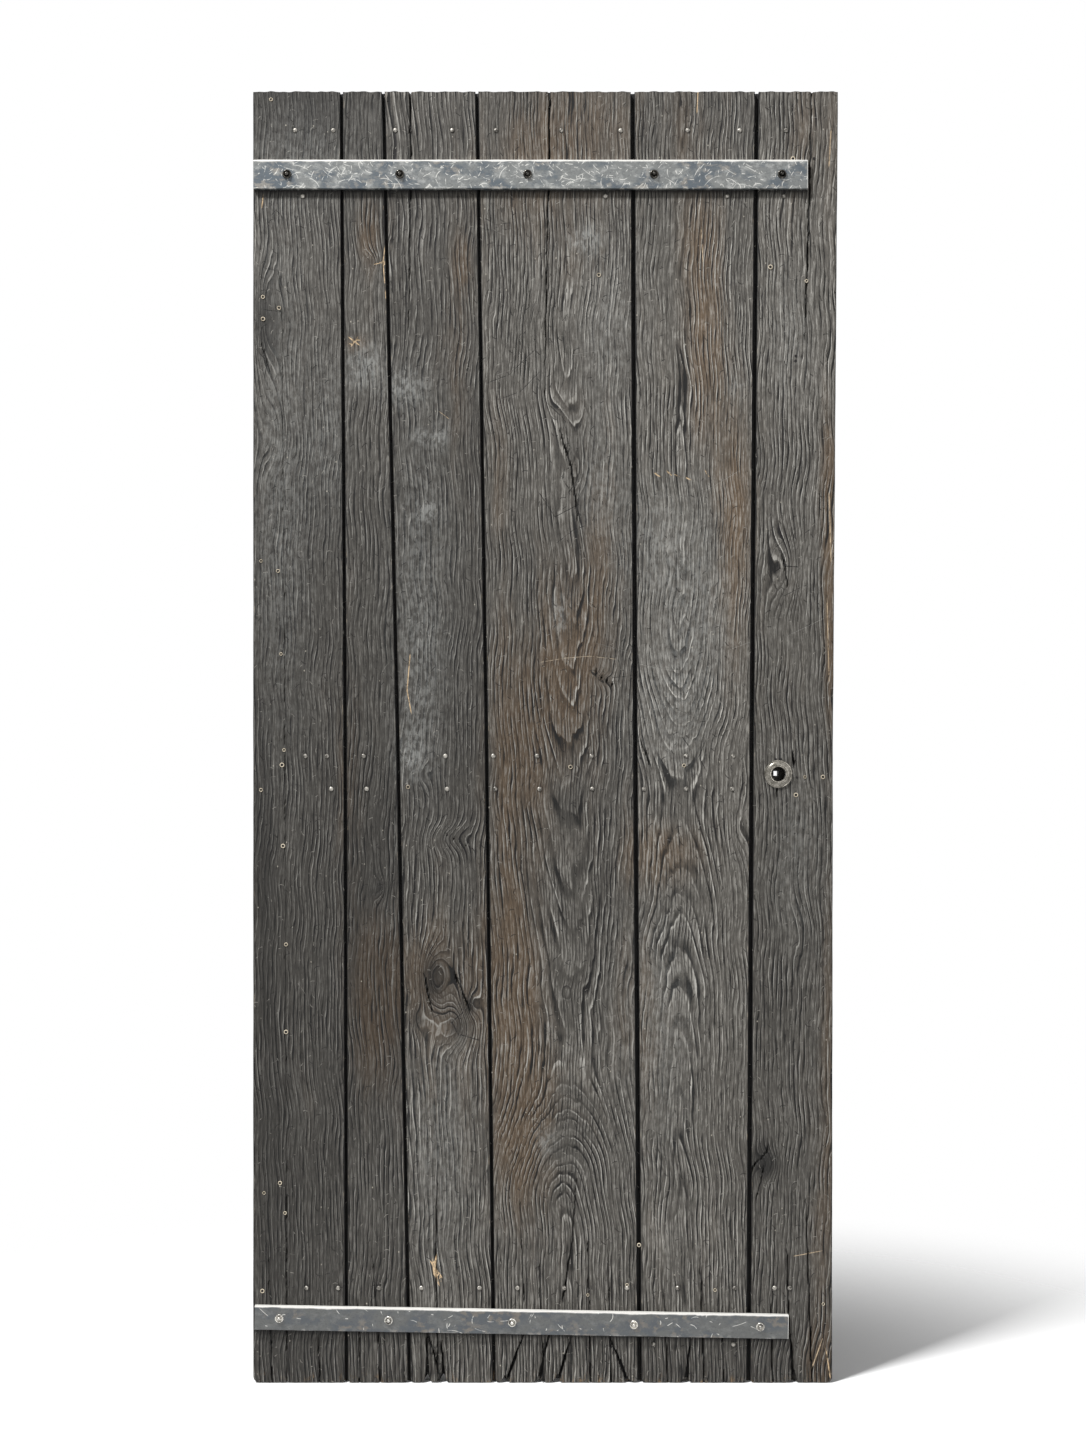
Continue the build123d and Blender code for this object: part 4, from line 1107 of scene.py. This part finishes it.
def mark_ledge(piece, start, end, centre, height, seed):
    mesh = piece.data
    x, y, z = read_points(mesh)
    low, high = centre - height / 2, centre + height / 2
    heart_z = centre + 30 + wander(x, 14.0, 500, seed)
    heart_y = LEDGE_BACK + 34 + wander(x, 34.0, 700, seed + 3)
    push = wander(x + 2 * z, 2.0, 200, seed)
    for step in range(4):
        knot_x = start + (end - start) * (0.13 + 0.25 * step + 0.03 * math.sin(seed + step))
        knot_z = centre + height * 0.3 * math.sin(seed * 2.1 + step * 1.9)
        push += 12 * math.cos(step * 2 + seed) * np.exp(-oval(x, z, knot_x, knot_z, 30, 10) / 2)
    on_back = (y > LEDGE_BACK - 0.3).astype(float)
    edge = np.minimum(np.minimum(x - start, end - x), np.minimum(z - low, high - z))
    edge = np.where(y < LEDGE_BACK - LEDGE_BEVEL - 0.3, 9.0, edge)
    write_field(mesh, "grain", (z - heart_z, y - heart_y, x + 5000 + GRAIN_SHIFT * seed))
    write_field(mesh, "state", (push, np.full_like(x, 0.95), on_back))
    write_field(mesh, "stain", (0.5 + 0.3 * np.sin(x / 170 + seed), 0.2 + 0.2 * np.sin(x / 120), 0.1 * on_back))
    write_field(mesh, "crack", (*blank_lines(x)[:2], edge))
    write_field(mesh, "scratch", blank_lines(x))


for name, (start, end, centre, height, seed) in LEDGES.items():
    middle = np.linspace(start + LEDGE_BEVEL, end - LEDGE_BEVEL, int((end - start) / 5))
    stations = np.concatenate([[start], middle, [end]])
    inward = np.where((stations == start) | (stations == end), LEDGE_BEVEL - 0.01, 0.0)
    low, high = centre - height / 2, centre + height / 2
    columns = int(height / 3)
    blank = swept(name + "_blank", stations, [ledge_section(low, high, i, columns) for i in inward], "x")
    mark_ledge(blank, start, end, centre, height, seed)
    settings = {"Furrow depth": 0.35, "Crack depth": 4.0, "Finish": ledge_wood}
    ledge = grow(blank, weathered_relief, settings, "old_" + name)
    fasten(ledge, "leaf", "ledge_wood", name)

# %% [markdown]
# ## Steel of the straps
# The straps are flat rolled bars. Decades of wear have left bluish mill skin in patches, rubbed grey between
# them, and hundreds of fine bright scratches. Scratches are thin lines in many directions, so they come from
# several layers of short bent strokes, each scattered on its own grid with its own lean and spread of angles,
# rather than from one pattern.

# %% Strap finish


# layers of strokes: cell, length, width, share of cells, spread of angles, lean and seed
STROKES = ((13.0, 15.0, 0.8, 0.75, 6.2, 0.0, 2.0), (22.0, 26.0, 0.7, 0.7, 2.4, 0.1, 31.0),
           (34.0, 44.0, 0.6, 0.6, 1.2, -0.2, 7.0), (9.0, 7.0, 0.9, 0.45, 6.2, 0.4, 17.0))


def strap_finish(name, base, blue, bright, turn, wear):
    """Mill skin in patches, fine bright scratches, pits, rust, and light edges where the edge field says so:
    painted highlight along the top edge, bare rubbed metal at the burrs, the free end and the lower edge.
    """
    material, bench, shader = new_material(name)
    place_in = bench.add("ShaderNodeTexCoord").outputs["Object"]
    rotate = bench.add("ShaderNodeMapping", inputs={"Vector": place_in, "Rotation": (0, turn, 0)}).outputs[0]
    x, y, z = [part * 1000 for part in bench.parts(rotate)]
    cloud = bench.noise(x / 60, y / 60, z / 34, detail=3.0, rough=0.6)
    mottle = bench.noise(x / 13, y / 13, z / 9, detail=4.0, rough=0.62)
    fine = bench.noise(x / 3.0, y / 3.0, z / 2.2, detail=3.0, rough=0.6)
    tint = bench.blend(cloud.rise(0.42, 0.6), base, blue)
    tint = bench.blend(mottle.rise(0.46, 0.68) * 0.55, tint, bright)
    tint = bench.coat(fine.fall(0.36, 0.5) * 0.35, tint, 70, 72, 74)
    scratches = 0.0
    for cell, length, width, share, spread, angle, seed in STROKES:
        layer = nicks(bench, x, z, cell, length, width, share * wear, spread, angle, seed)
        scratches = layer.math("MAXIMUM", scratches)
    scratches = scratches * mottle.rise(0.36, 0.52)
    tint = bench.coat(scratches * 0.8, tint, 214, 213, 207)
    pit = fine.fall(0.22, 0.30)
    tint = bench.coat(pit * 0.7, tint, 36, 35, 34)
    rust = cloud.rise(0.5, 0.6) * mottle.rise(0.46, 0.62)
    tint = bench.coat(rust * 0.35, tint, 124, 110, 92)
    rub, low_rub, _ = bench.attribute("rub")
    # Near white at the edges: painted highlight along the top edge, bare rubbed metal at the burrs, the free end
    # and the lower edge.
    worn = (rub * (0.75 + mottle * 0.5)).rise(0.35, 0.8).math("MAXIMUM", low_rub * mottle.rise(0.5, 0.62) * 0.7)
    tint = bench.coat(worn, tint, 222, 220, 215)
    bench.feed(shader.inputs["Base Color"], tint)
    bench.feed(shader.inputs["Metallic"], 0.42 - worn * 0.3)
    bench.feed(shader.inputs["Roughness"], 0.50 - mottle * 0.1 - scratches * 0.1 + pit * 0.2)
    bench.bump(shader, 0.4, 0.0003, mottle * 0.6 + fine * 0.3 - pit * 0.9 - scratches * 0.5)
    return material


scratched_strap = strap_finish("scratched_strap", linear(114, 116, 115), linear(84, 91, 97),
                               linear(168, 169, 166), 0.0, 0.85)
dark_strap = strap_finish("dark_strap", linear(92, 93, 92), linear(80, 84, 88), linear(112, 113, 112),
                          -DROOP, 0.12)
print("strap finishes ready")

# %% [markdown]
# ### The straps
# A rolled bar is never quite straight along its edges, and years of knocks leave small burrs. Each strap is a
# swept bar whose edges wander by a few tenths of a millimetre, with a narrow worn slope where they were hit.

# %% Make the straps
EDGE_SHRINK = 0.25
# burrs that are hammered over the bottom strap's top edge: place along it and width
BURRS = ((114, 14), (596, 16), (318, 5), (705, 6))


def strap_section(low, high, bite):
    """Outline of a strap cut across, with a slope bitten off both front edges."""
    slope = ((0.0, FRONT), (0.0, STRAP_FRONT + bite), (bite * 0.35, STRAP_FRONT + bite * 0.3),
             (bite, STRAP_FRONT))
    points = [(low + step, depth) for step, depth in slope]
    points += [(low + bite + (high - low - 2 * bite) * t, STRAP_FRONT) for t in np.linspace(0, 1, 9)[1:-1]]
    return points + [(high - step, depth) for step, depth in slope[::-1]]


def top_highlight_and_rub_field(mesh, start, centre, height, length, droop):
    """How light the metal is made at its edges: a painted highlight along the top edge, where light from above
    falls, widened over the real hammered burrs of the bottom strap; bare rubbed metal at the free end and some
    along the lower edge.
    """
    x, y, z = read_points(mesh)
    run = (x - start) * math.cos(droop) - (z - centre) * math.sin(droop)
    up = (x - start) * math.sin(droop) + (z - centre) * math.cos(droop)
    burr = sum(np.exp(-((run - spot) / width) ** 2) for spot, width in BURRS)
    reach = 1.8 + (3.0 * burr if droop else 0.0)
    # Painted highlight along the top edge, wider over the burrs.
    top = np.clip(1.4 - (height / 2 - up) / reach, 0, 1)
    end = np.clip(1 - (length - run) / 1.6, 0, 1) * 0.9
    low = np.clip(1 - (height / 2 + up) / 1.2, 0, 1) * 0.6
    write_field(mesh, "rub", (np.maximum(top, end), np.maximum(low, 0), np.zeros_like(x)))


for (name, (start, end, centre, height, droop)), finish in zip(STRAPS.items(), (scratched_strap, dark_strap)):
    length = (end - start) / math.cos(droop)
    ends = np.array([0, 0.5, 1.2])
    stations = np.concatenate([ends, np.linspace(4, length - 4, 170), length - ends[::-1]])
    low = -height / 2 + EDGE_SHRINK + wander(stations, 0.35, 120, start) * 0.6
    high = height / 2 - EDGE_SHRINK + wander(stations, 0.35, 90, start + 5) * 0.6
    bite = 0.8 + 0.35 * np.sin(stations / 19.0) * np.sin(stations / 7.3 + start)
    sections = [strap_section(*three) for three in zip(low, high, bite)]
    strap = swept("old_" + name, stations, sections, "x")
    for point in strap.data.vertices:
        along_bar = point.co.x / MM + WIDTH / 2
        up = point.co.z / MM
        point.co.x = (across(start) + along_bar * math.cos(droop) + up * math.sin(droop)) * MM
        point.co.z = (centre - along_bar * math.sin(droop) + up * math.cos(droop)) * MM
    top_highlight_and_rub_field(strap.data, start, centre, height, length, droop)
    strap.data.materials.append(finish)
    strap.data.shade_flat()
    fasten(strap, "leaf", slot_of(finish), name)

# %% [markdown]
# ## Fasteners
# Bolts, nuts, washers, nails and old screw holes repeat many times, each a little different from the next. One
# tree sets a copy of a shape on every point of a row, turns and tilts it by a fixed seed, and makes it real.

# %% Tree for rows of fasteners


def row_tree():
    """Sets a turned and tilted copy of a shape on every point."""
    inputs = (("Places", "Geometry"), ("Shape", "Object"), ("Turn", "Float"), ("Tilt", "Float"),
              ("Size spread", "Float"), ("Seed", "Int"), ("Finish", "Material"))
    tree, bench, entry, exit_node = new_tree("row_of_fasteners", "Fasteners", inputs)
    shape = bench.add("GeometryNodeObjectInfo", {"transform_space": "ORIGINAL"}, {"Object": entry["Shape"]})

    def chance(low, high, shift):
        seed = bench.value(entry["Seed"]) + shift
        node = bench.add("FunctionNodeRandomValue", {"data_type": "FLOAT"}, {2: low, 3: high, 8: seed})
        return bench.value(node.outputs[1])

    turn = chance(-1.0, 1.0, 0) * bench.value(entry["Turn"])
    tilt_x = chance(-1.0, 1.0, 1) * bench.value(entry["Tilt"])
    tilt_z = chance(-1.0, 1.0, 2) * bench.value(entry["Tilt"])
    size = 1 - chance(0.0, 1.0, 3) * bench.value(entry["Size spread"])
    inputs = {"Points": entry["Places"], "Instance": shape.outputs["Geometry"],
              "Rotation": bench.vector(tilt_x, turn, tilt_z), "Scale": bench.vector(size, 1.0, size)}
    copies = bench.add("GeometryNodeInstanceOnPoints", inputs=inputs)
    hand_out(bench, copies.outputs[0], entry["Finish"], exit_node)
    return tree


fastener_row = row_tree()


def row(name, places, shape, finish, turn=math.pi, tilt=0.0, spread=0.0, seed=1):
    """Copies a shape to every (place, level) and throws the first one away."""
    mesh = bpy.data.meshes.new(name + "_places")
    mesh.from_pydata([(across(x) * MM, 0, z * MM) for x, z in places], [], [])
    holder = put(name + "_places", mesh)
    settings = {"Shape": shape, "Turn": turn, "Tilt": tilt, "Size spread": spread, "Seed": seed,
                "Finish": finish}
    piece = grow(holder, fastener_row, settings, name)
    bpy.data.objects.remove(shape)
    return piece


def slab(name, x, y, z, bevel=0.0):
    """Block from three (low, high) pairs in millimetres, with softened edges."""
    work = bmesh.new()
    bmesh.ops.create_cube(work, size=1.0)
    for corner_point in work.verts:
        spans = zip((x, y, z), corner_point.co)
        corner_point.co = [(low + (high - low) * (part + 0.5)) * MM for (low, high), part in spans]
    if bevel:
        bmesh.ops.bevel(work, geom=work.edges, offset=bevel * MM, segments=2, profile=0.5, affect="EDGES")
    return loose(name, work)


def joined(name, things):
    """One shape out of several closed ones."""
    work = bmesh.new()
    for thing in things:
        work.from_mesh(thing.data)
        bpy.data.objects.remove(thing)
    return loose(name, work)


print("row tree nodes", len(fastener_row.nodes))

# %% Metal finish for small parts


def small_metal(name, dark, light, metallic, rough, grain_size=2.2):
    """Dark and light metal in small clouds."""
    material, bench, shader = new_material(name)
    x, y, z = bench.spot()
    cloud = bench.noise(x / 9, y / 9, z / 9, detail=3.0)
    fine = bench.noise(x / grain_size, y / grain_size, z / grain_size, detail=3.0, rough=0.6)
    mix = (cloud * 0.5 + fine * 0.5).rise(0.38, 0.62)
    bench.feed(shader.inputs["Base Color"], bench.blend(mix, dark, light))
    shader.inputs["Metallic"].default_value = metallic
    bench.feed(shader.inputs["Roughness"], rough + (0.5 - fine) * 0.3)
    bench.bump(shader, 0.4, 0.0002, fine)
    return material


bolt_steel = small_metal("bolt_steel", linear(34, 33, 31), linear(98, 95, 90), 0.9, 0.18)
rubbed_bolt = small_metal("rubbed_bolt", linear(110, 108, 104), linear(216, 213, 206), 0.75, 0.24)
nail_iron = small_metal("nail_iron", linear(64, 61, 57), linear(168, 164, 156), 0.6, 0.42)
rose_metal = small_metal("rose_metal", linear(92, 89, 82), linear(148, 144, 136), 0.85, 0.28, 1.4)
latch_enamel = small_metal("latch_enamel", linear(36, 36, 35), linear(58, 57, 54), 0.2, 0.45, 3.0)
latch_steel = small_metal("latch_steel", linear(112, 110, 105), linear(170, 168, 162), 0.9, 0.36)
latch_iron = small_metal("latch_iron", linear(34, 32, 30), linear(72, 69, 65), 0.5, 0.62)
print("metals ready")

# %% Bolts, washers and nuts
def bolt_places(strap, places):
    start, _, centre, _, droop = STRAPS[strap]
    return [(p, centre - (p - start) * math.tan(droop)) for p in places]


TOP_BOLTS = bolt_places("top_strap", (55.0, 232.7, 434.2, 633.5, 834.8))
BOTTOM_BOLTS = bolt_places("bottom_strap", (43.0, 215.2, 409.8, 601.5, 800.6))
WASHER_HALF, WASHER_THICK = 12, 3.0
NUT_ACROSS = 13.0


def strap_bolt():
    """Cupped collar with the worn shank end in it, shank through the door, and a threaded end."""
    head = ((0.0, 6.6), (1.3, 6.5), (2.3, 6.0), (2.9, 5.0), (3.2, 3.4), (3.4, 2.0), (4.0, 1.6), (4.7, 2.2),
            (5.2, 3.0), (5.9, 3.1), (6.7, 2.4), (7.1, 1.2), (7.1, 0.0), (3.7, -0.1))
    thread = []
    for step in range(7):
        depth = LEDGE_BACK + 4.0 + step * 1.1
        thread += [(3.5, depth), (4.0, depth + 0.55)]
    end = [(3.5, 57.3), (2.6, 57.5), (0.0, 57.5)]
    return turned("strap_bolt", raised(head, STRAP_FRONT) + thread + end, 24)


def nut():
    """Six-sided nut, worn at its corners."""
    start = LEDGE_BACK + WASHER_THICK
    sections = []
    for depth, share in ((start, 0.93), (start + 0.7, 1.0), (start + 5.6, 1.0), (start + 6.5, 0.88)):
        radius = NUT_ACROSS / math.sqrt(3) * share
        angles = [math.pi / 3 * i for i in range(6)]
        sections.append([(radius * math.cos(a), depth, radius * math.sin(a)) for a in angles])
    return loft("nut", sections)


def soften(piece, angle=50.0):
    piece.data.shade_smooth()
    piece.data.set_sharp_from_angle(angle=math.radians(angle))


for name, places, finish in (("top_strap_bolts", TOP_BOLTS, bolt_steel),
                             ("bottom_strap_bolts", BOTTOM_BOLTS, rubbed_bolt)):
    bolts = row("worn_" + name, places, strap_bolt(), finish, seed=len(name))
    soften(bolts)
    fasten(bolts, "leaf", "bolt_steel", name)
square = (-WASHER_HALF, WASHER_HALF)
washer = slab("washer", square, (LEDGE_BACK, LEDGE_BACK + WASHER_THICK), square, 0.6)
washers = row("square_washers", TOP_BOLTS + BOTTOM_BOLTS, washer, nail_iron, turn=0.04, seed=4)
fasten(washers, "leaf", "bolt_steel", "strap_washers")
nuts = row("hexagon_nuts", TOP_BOLTS + BOTTOM_BOLTS, nut(), bolt_steel, seed=7)
fasten(nuts, "leaf", "bolt_steel", "strap_nuts")

# %% Nails
SHANK, TIP_LENGTH = 1.6, 9.4


def nail():
    """Hammered head in front, shank through the door, and the tip bent down flat over the ledge."""
    head = turned("head", raised(((0.0, 1.7), (1.3, 1.6), (2.5, 1.2), (3.4, 0.5), (3.7, -0.3), (0.0, -0.5))), 9)
    thick = (-SHANK, SHANK)
    shank = slab("shank", thick, (FRONT, LEDGE_BACK + SHANK), thick, 0.3)
    tip = slab("tip", thick, (LEDGE_BACK, LEDGE_BACK + SHANK), (-TIP_LENGTH, SHANK), 0.4)
    for point in tip.data.vertices:
        drop = max(0.0, -point.co.z / MM) / TIP_LENGTH
        point.co.x *= 1 - 0.5 * drop
    return joined("nail", [head, shank, tip])


for seed, (name, rows) in enumerate(NAIL_ROWS.items()):
    places = [(x, z) for line, z in rows for x in line]
    nails = row("old_" + name, places, nail(), nail_iron, turn=0.25, tilt=0.006, seed=seed + 20)
    fasten(nails, "leaf", "nail_iron", name)

# %% [markdown]
# ## Rose and rim latch
# The rose is a spun brass ring gone dull: a low dome with a raised lip round its hole, and a sleeve that lines
# the board. Behind it sits a pressed rim latch. Its parts keep the frame's own shapes, with edges softened as
# stamping and wear leave them, because a sharp edge catches no light.

# %% Rose
# from the rim in to the sleeve: radius, height above the board's face
ROSE = ((22.0, 0.0), (22.0, 1.5), (21.6, 2.1), (20.9, 2.2), (20.3, 1.7), (19.7, 1.5), (18.6, 2.2), (17.2, 3.0),
        (15.6, 3.6), (14.6, 3.6), (14.0, 3.9), (13.7, 4.9), (13.2, 5.6), (12.2, 5.6), (11.6, 5.3), (11.5, 4.8),
        (11.5, -14.0), (12.4, -14.0), (12.4, 0.0))
rose = turned("spun_rose", raised(ROSE), 72, (across(SPINDLE_PLACE), SPINDLE_LEVEL))
rose.data.materials.append(rose_metal)
soften(rose, 40)
fasten(rose, "leaf", "rose_metal", "rose")

# %% Latch parts


def softened(node, name, width, finish, body):
    """Copy of a frame node with welded corners and softened edges."""
    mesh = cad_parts[node].data.copy()
    mesh.name = name
    tidy(mesh)
    piece = put(name, mesh)
    work = bmesh.new()
    work.from_mesh(mesh)
    bmesh.ops.dissolve_limit(work, angle_limit=math.radians(2), verts=work.verts, edges=work.edges)
    work.to_mesh(mesh)
    work.free()
    edge = piece.modifiers.new("edge", "BEVEL")
    edge.width = width * MM
    edge.segments = 2
    edge.limit_method = "ANGLE"
    edge.angle_limit = math.radians(35)
    edge.use_clamp_overlap = True
    ready = piece.evaluated_get(bpy.context.evaluated_depsgraph_get())
    piece.data = bpy.data.meshes.new_from_object(ready)
    piece.modifiers.clear()
    piece.data.materials.clear()
    piece.data.materials.append(finish)
    fasten(piece, body, slot_of(finish), node)


softened("latch_case", "pressed_latch_case", 0.5, latch_enamel, "leaf")
softened("latch_plate", "latch_back_plate", 0.25, latch_iron, "leaf")
softened("latch_bolt", "bevelled_latch_bolt", 0.4, latch_steel, "latch_bolt")
softened("latch_hub", "square_holed_hub", 0.25, latch_iron, "latch_hub")


def latch_screw_shape():
    """Slotted dome head on a plain shank."""
    head = turned("dome", ((0.0, 19.6), (1.8, 19.4), (3.4, 18.6), (4.4, 17.2), (4.4, 17.0), (2.0, 16.9),
                           (2.0, -5.0), (0.0, -6.0)), 20)
    slot = slab("slot", (-5, 5), (18.7, 21), (-0.5, 0.5))
    cut(head, [slot])
    return head


CASE_START = 780.92
SCREWS = [(CASE_START + p, z) for p in (22.0, 110.0) for z in (924.6, 1018.6)]
screws = row("slotted_screws", SCREWS, latch_screw_shape(), latch_steel, turn=1.2, seed=31)
fasten(screws, "leaf", "latch_steel", "latch_screws")

# %% Leaf spring
SPRING_FOOT, SPRING_TIP, SPRING_BOW, SPRING_STEPS = (338.72, 935.9), (362.4, 981.6), -4.0, 24
SPRING_SECTION = ((0, 22), (0.8, 22), (0.8, 30), (0, 30))


def spring_strip():
    """Bowed strip of spring steel, built from short lengths that follow its bow between its two ends."""
    sections = []
    for step in range(SPRING_STEPS + 1):
        t = step / SPRING_STEPS
        x = SPRING_FOOT[0] + (SPRING_TIP[0] - SPRING_FOOT[0]) * t + SPRING_BOW * 4 * t * (1 - t)
        z = SPRING_FOOT[1] + (SPRING_TIP[1] - SPRING_FOOT[1]) * t
        sections.append([(x + dx, y, z) for dx, y in SPRING_SECTION])
    return loft("bowed_leaf_spring", sections)


spring = spring_strip()
spring.data.materials.append(latch_steel)
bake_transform(spring)
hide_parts("latch_spring")
print("spring", len(spring.data.polygons), "faces")

# %% [markdown]
# ## Old screw holes
# Small pale rings show where screws once held hinges and plates. Each is a shallow crater: a raised rim of torn
# wood round a near-black disc laid on the face, which is painted shade standing in for the hole. They are made
# as a row, as the nails are.

# %% Screw holes
SCREW_MARKS = ((271, 99.5), (263, 297), (279, 308), (263, 319), (261, 561), (278, 571), (280, 1183),
               (264, 1193),
               (262.4, 1291), (261, 790), (823, 777), (805, 777), (823.3, 1304), (770.5, 267), (806.5, 281),
               (598.9, 275), (281, 654), (282, 765), (283, 846), (286, 944.5), (286, 1032), (285, 1213),
               (639, 1245), (793, 158.7), (284, 750), (408, 787), (570.5, 767), (684, 765.5), (627, 1285),
               (715, 1290), (587.8, 1295), (796, 795))
# Holes with no rim, shown only by a disc of painted shade.
DARK_HOLES = ((795.6, 361), (641, 758), (814, 158.5), (775.5, 759.2), (780.5, 759.2), (796, 356), (797, 777.5))
rim_finish = small_metal("torn_rim", linear(140, 130, 112), linear(214, 202, 180), 0.0, 0.8, 1.2)
hole_shade_finish = small_metal("dark_hole", linear(8, 7, 7), linear(18, 16, 15), 0.0, 0.9, 1.2)
rim_shape = turned("rim", raised(((3.8, -0.4), (3.7, 0.4), (3.0, 0.8), (2.3, 0.4), (2.2, -0.4))), 14)
rims = row("screw_hole_rims", [(place(x), level(y)) for x, y in SCREW_MARKS], rim_shape, rim_finish,
           spread=0.35, seed=41)
fasten(rims, "leaf", "weathered_boards")
# The hole is not cut: a near-black disc laid on the face is painted shade standing in for it.
hole_shade_disc = turned("pit", raised(((0.0, 0.12), (2.4, 0.12), (2.4, -0.8), (0.0, -0.8))), 14)
pits = row("screw_hole_pits", [(place(x), level(y)) for x, y in SCREW_MARKS + DARK_HOLES], hole_shade_disc,
           hole_shade_finish,
           spread=0.2, seed=42)
fasten(pits, "leaf", "weathered_boards")
